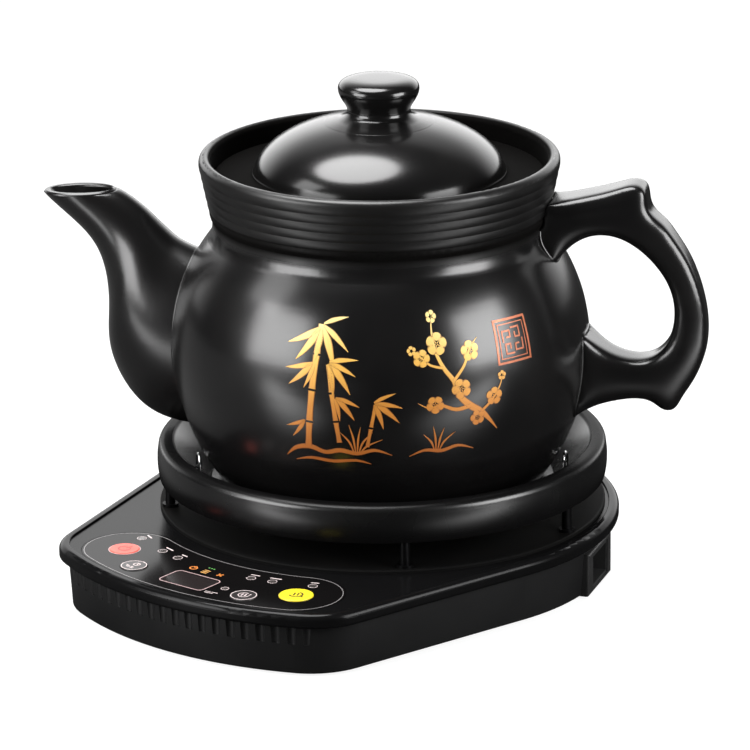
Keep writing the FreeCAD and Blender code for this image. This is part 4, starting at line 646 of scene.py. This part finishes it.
# The four keys, each by its distance from the pot's axis and its angle from the nose: a pale ring round
# the red one, and rings and marks on the caps that travel with them.
RED = (153, -21.8)
YELLOW = (153, 21.8)
LEFT = (162.5, -12.9)
RIGHT = (162.5, 12.9)
stamp("red_key_ring", [(rounded(8.35, 8.35, 8.35, 12), 0.45)], *RED, rose_ink)
stamp("red_key_mark", [arc(0, 0, 3.1, 0.8, 120, 420), bar(0, 2.7, 0.42, 1.9)], *RED, maroon_ink,
      "red_key", CAP_TOP)
stamp("yellow_key_mark", [arc(0, 0, 3.3, 0.8, 200, 430), bar(3.2, -1.9, 0.45, 1.5, 40),
                          bar(-1.0, 0.3, 0.4, 1.9), bar(0.9, 0.3, 0.4, 1.9)],
      *YELLOW, dark_ink, "yellow_key", CAP_TOP)
stamp("left_key_ring", [(rounded(6.7, 6.7, 6.7, 12), 0.42)], *LEFT, white_ink, "left_key", CAP_TOP)
stamp("left_key_mark", [arc(0, 1.9, 1.7, 0.5, 0, 360), bar(0, 2.4, 0.22, 0.85), bar(0.5, 1.8, 0.65, 0.2),
                        bar(-2.2, -2.0, 1.4, 0.28), bar(1.4, -2.0, 1.1, 0.28), bar(-1.2, -3.2, 1.0, 0.28),
                        bar(1.6, -3.2, 1.4, 0.28)], *LEFT, white_ink, "left_key", CAP_TOP)
stamp("right_key_ring", [(rounded(6.7, 6.7, 6.7, 12), 0.42)], *RIGHT, white_ink, "right_key", CAP_TOP)
stamp("right_key_mark", [arc(0, 0.2, 2.9, 0.45, 60, 390), bar(2.9, 1.4, 0.3, 1.0, -20),
                         bar(-0.9, 0.2, 0.35, 1.5), bar(0.9, 0.2, 0.35, 1.5)],
      *RIGHT, white_ink, "right_key", CAP_TOP)

# A fine line round the panel's edge: its inner and outer radius, and half its span in degrees.
PANEL_BAND = (126.6, 174.1, 21.5)
BAND_STEPS = 24


def band_outline():
    """The panel's outline: two arcs about the pot's axis, joined by half-round ends."""
    inner, outer, span = PANEL_BAND
    middle, end = (inner + outer) / 2, (outer - inner) / 2
    turn = math.radians(span)

    def sweep(x, y, radius, start, stop, skip=0):
        turns = (start + (stop - start) * i / BAND_STEPS for i in range(skip, BAND_STEPS + 1 - skip))
        return [(x + radius * math.sin(t), y - radius * math.cos(t)) for t in turns]

    x, y = middle * math.sin(turn), -middle * math.cos(turn)
    return (sweep(0, 0, outer, -turn, turn) + sweep(x, y, end, turn, turn + math.pi, 1)
            + sweep(0, 0, inner, turn, -turn) + sweep(-x, y, end, math.pi - turn, math.tau - turn, 1))


stamp("panel_outline", [(band_outline(), 0.4)], 0, 0, grey_ink)

# The display window's outline, a ring and a bar at each lamp, and the small tell-tales above the window.
WINDOW_CIRCLE = 157.3
LAMP_CIRCLE = 138.2
LAMP_TURNS = (-26, -16.5, -11, 9.5, 14.5, 23.5)
stamp("window_outline", [(rounded(14.4, 8.9, 3.2), 0.5)], WINDOW_CIRCLE, 0, rose_ink)
for number, turn in enumerate(LAMP_TURNS, 1):
    stamp(f"lamp_ring_{number}", [(rounded(2.5, 2.5, 2.5), 0.28), bar(0, 4.5, 2.2 + number % 3 * 0.5, 0.42)],
          LAMP_CIRCLE, turn, white_ink)
stamp("window_lamp_ring", [(rounded(2.1, 2.1, 2.1), 0.26)], WINDOW_CIRCLE, 8, white_ink)
stamp("tell_tale_orange", [arc(0, 0, 1.9, 0.7, 90, 430), bar(0, 1.7, 0.36, 1.1)], 142.6, -4.1, orange_ink)
stamp("tell_tale_green", [bar(0, -1.7, 2.0, 0.42), bar(0, 0, 2.0, 0.42), bar(0, 1.7, 2.0, 0.42)], 142.9, -0.7,
      amber_ink)
stamp("tell_tale_red", [bar(0, 0, 2.0, 0.5, 45), bar(0, 0, 2.0, 0.5, -45)], 142.6, 3.0, orange_ink)
stamp("tell_tale_dots", [disc(-1.4, 0, 0.5), disc(0.2, 0, 0.5), disc(1.8, 0, 0.5)], 137.6, -0.9, green_ink)
stamp("corner_marks", [bar(-2.4, 0, 1.6, 0.22), bar(1.6, 0, 1.8, 0.22), bar(-1.2, -1.5, 2.6, 0.22)],
      165, 7, white_ink)


# -------------------------------- painted decoration on the belly

def leaf(x, y, length, turn, fat):
    """One bamboo leaf as a brush line: pointed, fullest a third of the way along."""
    c, s = math.cos(math.radians(turn)), math.sin(math.radians(turn))
    spots = ((0, 0, 0.4), (0.16, 0.012, 0.75), (0.36, 0.02, 1.0), (0.66, 0, 0.72), (0.88, -0.03, 0.32),
             (1, -0.05, 0.05))
    return [(x + (t * c - b * s) * length, y + (t * s + b * c) * length, w * fat * length)
            for t, b, w in spots]


def stalk(x, y, lean, joints, width):
    """A bamboo stalk as one brush line a joint, swelling at each joint's ends."""
    lines = []
    for rise in joints:
        spots = ((0.9, 1.16), (1.98, 1), (rise / 2, 0.9), (rise - 1.26, 1), (rise - 0.3, 1.2))
        lines.append([(x + lean * up, y + up, width * swell) for up, swell in spots])
        x, y = x + lean * rise, y + rise
    return lines


BAMBOO_STALKS = (stalk(-39, 96, 0.10, (14, 17, 18, 15), 3.6) + stalk(-22, 99, -0.13, (12, 15, 15), 2.6)
                 + stalk(-8, 97, 0.20, (11, 13), 2.0))
paint("bamboo_stalks", BAMBOO_STALKS, gold_paint)
BAMBOO_LEAVES = [leaf(*spot) for spot in (
    (-33.5, 158, 19, 208, 0.19), (-33.5, 158, 20, 236, 0.2), (-32.5, 158, 18, 262, 0.19),
    (-31.5, 158, 21, 292, 0.2), (-31, 159, 18, 322, 0.17), (-31.5, 160, 14, 18, 0.17),
    (-36, 141, 15, 196, 0.19), (-36, 141, 17, 226, 0.2), (-35, 141, 14, 250, 0.18),
    (-27, 141.5, 15, 338, 0.19), (-27, 141.5, 19, 308, 0.2), (-27.5, 141, 17, 282, 0.2),
    (-27, 142, 15, 8, 0.17),
    (-23.5, 124, 13, 342, 0.19), (-23.5, 124, 15, 312, 0.2), (-24, 123.5, 12, 285, 0.19),
    (-3.5, 121.5, 14, 352, 0.19), (-3.5, 121.5, 16, 322, 0.2), (-4, 121, 14, 292, 0.2),
    (-4, 122, 12, 26, 0.17),
    (-40, 111, 11, 204, 0.19), (-40, 111, 12, 236, 0.19))]
paint("bamboo_leaves", BAMBOO_LEAVES, gold_paint)

PLUM_BRANCH = [
    [(62, 102, 0.4), (57, 108, 2.0), (52, 113, 3.4), (46, 117, 3.9), (40, 123, 3.2), (37, 131, 2.6),
     (32, 138, 2.2), (28, 147, 1.6), (27, 157, 0.9), (28, 164, 0.2)],
    [(46, 117, 2.4), (38, 116, 2.1), (30, 119, 1.6), (24, 118, 1.1), (18, 121, 0.2)],
    [(37, 131, 1.8), (43, 138, 1.5), (47, 146, 1.1), (52, 151, 0.2)],
    [(32, 138, 1.5), (25, 140, 1.2), (19, 145, 0.8), (14, 146, 0.2)],
    [(52, 113, 1.8), (58, 118, 1.3), (63, 125, 0.8), (65, 131, 0.2)],
]
paint("plum_branch", PLUM_BRANCH, gold_paint)


def flower(spot, first, stroke):
    """Five strokes out from a flower's middle, the first at an angle on top of the flower's own.

    A stroke's spots are distances and widths, as shares of the flower's radius."""
    x, y, radius, turn = spot
    turns = [math.radians(turn + first + 72 * k) for k in range(5)]
    return [[(x + math.cos(t) * radius * d, y + math.sin(t) * radius * d, w * radius) for d, w in stroke]
            for t in turns]


PETAL = ((0.30, 0.16), (0.42, 0.62), (0.66, 0.94), (0.88, 0.78), (1.0, 0.30))
STAMEN = ((0.08, 0.10), (0.34, 0.07), (0.56, 0.10), (0.62, 0.18), (0.68, 0.05))
BLOSSOMS = ((29, 150, 5.6, 10), (41, 126.5, 5.2, 40), (20.5, 143.5, 4.4, 0), (47, 145, 5.0, 25),
            (27, 119.5, 4.6, 55), (59.5, 120, 4.6, 15), (50, 110, 4.0, 35))
BUDS = ((27.5, 163, 3.0, 5), (15.5, 147.5, 2.4, 30), (64.5, 130, 2.4, 12))
paint("plum_blossoms", [line for spot in BLOSSOMS + BUDS for line in flower(spot, 0, PETAL)], gold_paint)
paint("plum_stamens", [line for spot in BLOSSOMS for line in flower(spot, 36, STAMEN)], gold_paint)

GROUND_LINES = [
    [(-52, 90, 0.4), (-46, 95, 2.2), (-38, 96.5, 2.8), (-30, 94, 2.4), (-22, 95.5, 2.6), (-13, 94, 2.2),
     (-4, 96, 1.8), (5, 93, 0.3)],
    [(-47, 88, 0.3), (-38, 90, 1.6), (-26, 89, 1.9), (-14, 90, 1.5), (-6, 88, 0.3)],
    [(14, 92, 0.3), (22, 95, 1.6), (31, 94, 2.0), (40, 96, 1.6), (49, 93, 0.3)],
]
paint("ground_lines", GROUND_LINES, gold_paint)
GRASS_FOOT = 95
GRASS = [[(x, GRASS_FOOT, 0.7), (x + bend * 0.3, GRASS_FOOT + high * 0.5, 1.1),
          (x + bend, GRASS_FOOT + high, 0.1)] for x, bend, high in (
    (-15, -7, 11), (-14, -3, 15), (-13, 2, 14), (-12, 7, 11), (-11, 11, 7),
    (27, -6, 9), (28, -2, 13), (29, 3, 12), (30, 8, 9))]
paint("grass_blades", GRASS, gold_paint)


# Each frame of the fret is half a side and a line's width. An arm of its spiral runs out from the middle.
FRET_MIDDLE = (74, 146)
FRET_FRAMES = ((10.5, 1.1), (8.4, 0.5))
FRET_ARM = ((0, 6.2), (5.0, 6.2), (5.0, 1.4), (1.9, 1.4), (1.9, 3.8))
FRET_WIDTH = 0.8


def straight(a, b, width, spill):
    """A straight stroke of the fret, run past both its ends by a share of its length."""
    x, y = FRET_MIDDLE
    return [(x + a[0] + (b[0] - a[0]) * t, y + a[1] + (b[1] - a[1]) * t, width)
            for t in (-spill, 0.33, 0.66, 1 + spill)]


def fret_lines():
    """A small square medallion: a double frame and a square spiral fret that turns about its middle."""
    lines = []
    for half, width in FRET_FRAMES:
        corners = ((half, -half), (half, half), (-half, half), (-half, -half))
        lines += [straight(corners[k], corners[(k + 1) % 4], width, width / 4 / half) for k in range(4)]
    for c, s in ((1, 0), (0, 1), (-1, 0), (0, -1)):
        arm = [(x * c - y * s, x * s + y * c) for x, y in FRET_ARM]
        lines += [straight(a, b, FRET_WIDTH, 0.07) for a, b in zip(arm, arm[1:])]
    return lines


paint("fret_medallion", fret_lines(), copper_ink)


# -------------------------------- smoother forms in place of solids, and beads along the joints

def copy_of(node):
    """A merged copy of a frame node's mesh, free of the frame and taken up."""
    piece = linked("copy", NODES[node].data.copy())
    if piece.data.has_custom_normals:
        bpy.ops.mesh.customdata_custom_splitnormals_clear()
    bpy.ops.object.mode_set(mode="EDIT")
    bpy.ops.mesh.select_all(action="SELECT")
    bpy.ops.mesh.remove_doubles(threshold=0.01 * MM)
    bpy.ops.object.mode_set(mode="OBJECT")
    return piece


BODY_SKIN = BVHTree.FromObject(NODES["pot_body"], bpy.context.evaluated_depsgraph_get())
# What is nearer to the body than this touches it. A bead's points are this far apart, and it is this thick.
SEAM_FIT = 0.25
SEAM_STEP = 3.0
SEAM_RADIUS = 0.9


def off_body(point):
    """How far a point is from the pot's body, in millimetres."""
    return BODY_SKIN.find_nearest(point)[3] / MM


def seam_loops(node):
    """The closed outlines of a node's contact with the pot's body, as lists of points, longest first."""
    piece = copy_of(node)
    mesh = bmesh.new()
    mesh.from_mesh(piece.data)
    bpy.data.objects.remove(piece)
    near = {v for v in mesh.verts if off_body(v.co) < SEAM_FIT}
    touching = {f for f in mesh.faces if all(v in near for v in f.verts)
                and off_body(f.calc_center_median()) < SEAM_FIT}
    ring = [e for e in mesh.edges if len([f for f in e.link_faces if f in touching]) == 1]
    links = {}
    for edge in ring:
        a, b = edge.verts
        links.setdefault(a, []).append(b)
        links.setdefault(b, []).append(a)
    loops, seen = [], set()
    for first in sorted(links, key=lambda v: v.index):
        if first in seen:
            continue
        line, here = [first], first
        seen.add(first)
        while True:
            onward = [v for v in links[here] if v not in seen]
            if not onward:
                break
            here = min(onward, key=lambda v: v.index)
            seen.add(here)
            line.append(here)
        loops.append([v.co / MM for v in line])
    mesh.free()
    return sorted(loops, key=lambda line: -sum((b - a).length for a, b in zip(line, line[1:])))


def evened(loop):
    """Points at even steps along a closed line, each eased towards its neighbours."""
    closed = [*loop, loop[0]]
    spans = [(b - a).length for a, b in zip(closed, closed[1:])]
    count = max(12, round(sum(spans) / SEAM_STEP))
    step = sum(spans) / count
    points, run, k = [], 0.0, 0
    for i in range(count):
        while run + spans[k] < i * step:
            run += spans[k]
            k += 1
        points.append(closed[k].lerp(closed[k + 1], (i * step - run) / max(spans[k], 1e-6)))
    for _ in range(2):
        points = [(points[i - 1] + points[i] * 2 + points[(i + 1) % count]) / 4 for i in range(count)]
    return points


def seam_bead(name, loop):
    """A thin roll of slip smoothed into the joint, along a closed line of points in millimetres."""
    points = evened(loop)
    line = bpy.data.curves.new(name, "CURVE")
    line.dimensions = "3D"
    line.bevel_depth = SEAM_RADIUS * MM
    line.bevel_resolution = 2
    spline = line.splines.new("NURBS")
    spline.points.add(len(points) - 1)
    for spot, point in zip(spline.points, points):
        spot.co = (*(point * MM), 1)
    spline.order_u = 3
    spline.use_cyclic_u = True
    spline.resolution_u = 3
    linked(name, line)
    bpy.ops.object.convert(target="MESH")
    settle(bpy.context.object, name, limb_glaze, "pot", 80)


# The strap's points come free of the body over this distance, and none is held altogether.
STRAP_GRID = 0.95
STRAP_HOLD = 9.0
LEAST_FREE = 0.02
EDGE_ROUNDS = 60
CROWN_ROUNDS = 240
LAST_ROUNDS = 40


def worn(piece, rounds, everyway=True):
    """Eases a piece's free points towards their neighbours, everywhere or only along its own Y."""
    modify(piece, "SMOOTH", vertex_group="free", factor=0.6, iterations=rounds, use_x=everyway, use_z=everyway)


def turned(piece, degrees):
    piece.rotation_euler.z = math.radians(degrees)
    bpy.ops.object.transform_apply(location=False, rotation=True, scale=False)


def sponged(node, name):
    """The strap handle with its edges worn round and its flat faces crowned, as wet clay is sponged.

    It stays put where it meets the body."""
    piece = copy_of(node)
    modify(piece, "REMESH", mode="VOXEL", voxel_size=STRAP_GRID * MM)
    free = piece.vertex_groups.new(name="free")
    for vertex in piece.data.vertices:
        share = (off_body(vertex.co) - SEAM_FIT * 2) / STRAP_HOLD
        free.add([vertex.index], min(1.0, max(LEAST_FREE, share)), "REPLACE")
    worn(piece, EDGE_ROUNDS)
    turned(piece, -POT_TURN)
    worn(piece, CROWN_ROUNDS, everyway=False)
    turned(piece, POT_TURN)
    worn(piece, LAST_ROUNDS)
    piece.vertex_groups.clear()
    settle(piece, name, limb_glaze, "pot", 180)
    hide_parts(node)


WHEEL_STEPS = 128


def thrown(name, profile, finish, body, node, ring=False, smooth=60):
    """A form turned about the pot's axis, in place of a node.

    Its profile runs in millimetres from the axis above round to the axis below, eased into a smooth line.
    A ring's profile is taken as it is and closes on itself."""
    line = profile if ring else smooth_path(profile, 4)
    start_clean()
    bpy.ops.mesh.primitive_circle_add(vertices=len(line), radius=1, fill_type="NOTHING")
    piece = bpy.context.object
    bpy.ops.object.mode_set(mode="EDIT")
    shape = bmesh.from_edit_mesh(piece.data)
    shape.verts.ensure_lookup_table()
    for vertex, (radius, height) in zip(shape.verts, line):
        vertex.co = Vector((max(radius, 0.0), 0, height)) * MM
    if not ring:
        closing = next(e for e in shape.edges if {v.index for v in e.verts} == {0, len(line) - 1})
        shape.edges.remove(closing)
    bmesh.update_edit_mesh(piece.data)
    bpy.ops.mesh.select_all(action="SELECT")
    bpy.ops.mesh.spin(steps=WHEEL_STEPS, angle=math.tau, center=(0, 0, 0), axis=(0, 0, 1))
    bpy.ops.mesh.select_all(action="SELECT")
    bpy.ops.mesh.remove_doubles(threshold=0.005 * MM)
    bpy.ops.mesh.normals_make_consistent(inside=False)
    bpy.ops.object.mode_set(mode="OBJECT")
    settle(piece, name, finish, body, smooth)
    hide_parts(node)


# The dome's outside and inside: radius, rise and foot.
DOME = (66, 33, 209.2)
DOME_INSIDE = (60.5, 27.5, 209)


def dome_arc(size, start, end, count):
    """Points of an oval dome from one angle above its foot to another, in degrees."""
    radius, height, foot = size
    turns = [math.radians(start + (end - start) * i / (count - 1)) for i in range(count)]
    return [(radius * math.cos(t), foot + height * math.sin(t)) for t in turns]


LID_PROFILE = [
    *dome_arc(DOME, 90, 8, 12), (66.0, 213.1), (66.7, 212.2), (68.4, 211.8), (76, 211.7), (84.4, 211.6),
    (85.5, 211.1), (85.8, 210.2), (85.7, 208.6), (85.0, 208.1), (79, 208.05), (73.4, 208.0), (72.8, 207.4),
    (72.8, 203.2), (72.3, 202.2), (71.3, 201.9), (69.0, 201.9), (67.7, 202.3), (67.0, 203.6), (65.4, 207),
    *dome_arc(DOME_INSIDE, 4, 90, 10)]
KNOB_PROFILE = [
    (0, 262.3), (8, 262.25), (13.5, 262.0), (17.2, 261.3), (19.6, 260.0), (20.8, 258.2), (21.0, 256.2),
    (20.4, 253.8), (19.0, 251.1), (17.4, 248.6), (16.4, 246.3), (16.6, 244.3), (17.9, 242.5), (20.4, 241.15),
    (23.7, 240.25), (27.0, 239.4), (28.6, 238.9), (28.0, 238.2), (12, 238.0), (0, 238.0)]


def bend(first, last, radius, count):
    """A round stretch of a profile that swells away from the axis, from the lower point to the upper one."""
    (x0, y0), (x1, y1) = first, last
    chord = math.dist(first, last)
    reach = math.sqrt(radius ** 2 - chord ** 2 / 4) / chord
    middle = ((x0 + x1) / 2 - (y1 - y0) * reach, (y0 + y1) / 2 + (x1 - x0) * reach)
    low, high = (math.atan2(y - middle[1], x - middle[0]) for x, y in (first, last))
    turns = [low + (high - low) * i / (count - 1) for i in range(count)]
    return [(middle[0] + radius * math.cos(t), middle[1] + radius * math.sin(t)) for t in turns]


def dish_profile():
    """The pressed dish: outside from its foot up over the crest and down the slope, then back underneath."""
    sheet, bulge, roll, ease = 1.6, 40, 4.2, 0.96
    outer_foot, land, crest_inside = 117.4, 113.5, 110.4
    floor_top, floor_radius, hole = 46.5, 90, 73
    shoulder = DISH_CREST - roll
    lean = math.atan2(DISH_CREST - floor_top, crest_inside - floor_radius)
    set_back = sheet * math.tan(lean / 2)
    ease_run = ease * math.tan(lean / 2)

    def down_slope(run):
        return crest_inside - run * math.cos(lean), DISH_CREST - run * math.sin(lean)

    outside = bend((outer_foot, DISH_EDGE), (land + roll, shoulder), bulge, 12)[:-1]
    outside += bend((land + roll, shoulder), (land, DISH_CREST), roll, 10)
    edge = bend((crest_inside + ease_run, DISH_CREST), down_slope(ease_run), ease, 6)
    slope = [down_slope(ease_run + 1), (floor_radius, floor_top), (hole, floor_top)]
    below = [(hole, floor_top - sheet), (floor_radius + set_back, floor_top - sheet),
             (crest_inside + set_back, DISH_CREST - sheet)]
    inside = bend((land + roll - sheet, shoulder), (land, DISH_CREST - sheet), roll - sheet, 8)[::-1]
    inside += bend((outer_foot - sheet, DISH_EDGE), (land + roll - sheet, shoulder), bulge - sheet, 8)[-2::-1]
    return outside + edge + slope + below + inside


thrown("dish_pressed", dish_profile(), dish_enamel, "base", "heater_dish", ring=True, smooth=40)
thrown("lid_thrown", LID_PROFILE, lid_glaze, "lid", "lid")
thrown("knob_thrown", KNOB_PROFILE, lid_glaze, "lid", "lid_knob")

HANDLE_SEAMS = seam_loops("pot_handle")
sponged("pot_handle", "handle_sponged")
for number, loop in enumerate(HANDLE_SEAMS[:2], 1):
    seam_bead(f"handle_seam_{number}", loop)
seam_bead("spout_seam", seam_loops("pot_spout")[0])


# -------------------------------- studio

def lamp(name, azimuth, elevation, distance, width, height, radiance, shape="RECTANGLE", aim=(0, 0, 0.13)):
    """A soft box seen from the pot at an azimuth from the camera side, plus to the right."""
    az, el = math.radians(azimuth), math.radians(elevation)
    level = TOWARDS * math.cos(az) + RIGHTWARDS * math.sin(az)
    direction = level * math.cos(el) + Vector((0, 0, math.sin(el)))
    data = bpy.data.lights.new(name, "AREA")
    data.shape = shape
    data.size, data.size_y = width, height
    data.energy = radiance * width * height * math.pi
    box = bpy.data.objects.new(name, data)
    bpy.context.collection.objects.link(box)
    box.location = Vector(aim) + direction * distance
    box.rotation_euler = direction.to_track_quat("Z", "Y").to_euler()


lamp("left soft box", -57, 15, 0.8, 0.46, 0.42, 11)
lamp("left outer box", -76, 36, 1.0, 0.36, 0.36, 5)
lamp("right soft box", 58, 15, 0.8, 0.42, 0.44, 13)
lamp("overhead soft box", -90, 77, 1.2, 1.0, 1.04, 11, "ELLIPSE", (0, 0, 0.22))

scene = bpy.context.scene
scene.view_settings.view_transform = "Standard"


def along(field, direction):
    """How far the field's vector runs in a direction."""
    return field.join("ShaderNodeVectorMath", {"operation": "DOT_PRODUCT"},
                      {0: field, 1: tuple(direction)}, out=1)


def ray_kind(tree, kind):
    return Field(tree, tree.nodes.new("ShaderNodeLightPath").outputs[kind])


def make_room():
    """Plain white to the camera. In reflections, a bright paper backdrop behind the pot in a dark room."""
    world = bpy.data.worlds.new("studio")
    world.use_nodes = True
    scene.world = world
    tree = world.node_tree
    place = Field(tree, tree.nodes.new("ShaderNodeTexCoord").outputs["Generated"])
    behind = along(place, -TOWARDS)
    high = along(place, Vector((0, 0, 1)))
    above_floor = high.over(-0.02, 0.03)
    fading_up = high.over(0.30, 0.60, 2.7, 1.1) * high.over(0.72, 0.80, 1, 0)
    paper = behind.over(0.42, 0.95) * above_floor * fading_up
    room = paper + 0.02 + high.over(-0.2, 1.0, 0, 0.04)
    shader = tree.nodes["Background"]
    give(tree, shader.inputs["Color"], (1.0, 1.0, 1.0))
    give(tree, shader.inputs["Strength"], ray_kind(tree, "Is Camera Ray").maths("MAXIMUM", room))


def make_floor():
    """White paper that takes the pot's shadow. Glossy pieces mirror it dark, with a lit patch on each side."""
    start_clean()
    bpy.ops.mesh.primitive_circle_add(vertices=96, radius=1.6, fill_type="NGON", location=(0, 0, -0.0004))
    floor = bpy.context.object
    floor.name = "floor"
    bpy.ops.object.transform_apply(location=True, rotation=True, scale=True)
    paper = bpy.data.materials.new("paper floor")
    paper.use_nodes = True
    tree = paper.node_tree
    tree.nodes.clear()
    camera_ray = ray_kind(tree, "Is Camera Ray")
    mirror_ray = ray_kind(tree, "Is Glossy Ray")
    clear_ray = ray_kind(tree, "Is Transmission Ray")
    white = camera_ray.join("ShaderNodeEmission", None, {
        "Color": (1, 1, 1), "Strength": camera_ray * 0.86 + clear_ray * 0.12})
    matte = camera_ray.join("ShaderNodeBsdfDiffuse", None, {"Color": (0.22, 0.22, 0.22)})
    lit = camera_ray.join("ShaderNodeAddShader", None, {0: white, 1: matte})

    spot = Field(tree, tree.nodes.new("ShaderNodeTexCoord").outputs["Object"])
    to_right, far = along(spot, RIGHTWARDS), distance_from_axis(spot)
    across = (to_right + 0.03).maths("ABSOLUTE")
    forward = along(spot, TOWARDS) - across * 0.364
    patches = forward.over(0.07, 0.17) * forward.over(0.20, 0.30, 1, 0) * across.over(0.07, 0.18)
    patches = patches * far.over(180, 520, 0.3, 6.5) * far.over(700, 1300, 1, 0)
    left_glow = to_right.over(-0.26, -0.15, 0.2, 0)
    mirrored = camera_ray.join("ShaderNodeEmission", None, {
        "Color": (1, 1, 1), "Strength": patches + left_glow + 0.04})
    both = camera_ray.join("ShaderNodeMixShader", None, {0: mirror_ray * (1 - camera_ray), 1: lit, 2: mirrored})
    give(tree, tree.nodes.new("ShaderNodeOutputMaterial").inputs["Surface"], both)
    floor.data.materials.append(paper)


make_room()
make_floor()

# -------------------------------- camera

# How far the camera looks down and leans over, in radians, where it aims and how far off it stands.
PITCH = 0.3120616
ROLL = 0.0104113
CAMERA_DISTANCE = 2.6
AIM_RIGHT = -0.0034081
AIM_HEIGHT = 0.1015640
ahead = -TOWARDS * math.cos(PITCH) + Vector((0, 0, -math.sin(PITCH)))
level_up = -TOWARDS * math.sin(PITCH) + Vector((0, 0, math.cos(PITCH)))
side = RIGHTWARDS * math.cos(ROLL) - level_up * math.sin(ROLL)
upright = RIGHTWARDS * math.sin(ROLL) + level_up * math.cos(ROLL)
aim = RIGHTWARDS * AIM_RIGHT + Vector((0, 0, AIM_HEIGHT))
eye = aim - ahead * CAMERA_DISTANCE
camera_data = bpy.data.cameras.new("camera")
camera_data.sensor_width = 36
camera_data.lens = 238.26
camera_data.clip_end = 50
camera = bpy.data.objects.new("camera", camera_data)
bpy.context.collection.objects.link(camera)
camera.matrix_world = Matrix((
    (side.x, upright.x, -ahead.x, eye.x),
    (side.y, upright.y, -ahead.y, eye.y),
    (side.z, upright.z, -ahead.z, eye.z),
    (0, 0, 0, 1)))
scene.camera = camera
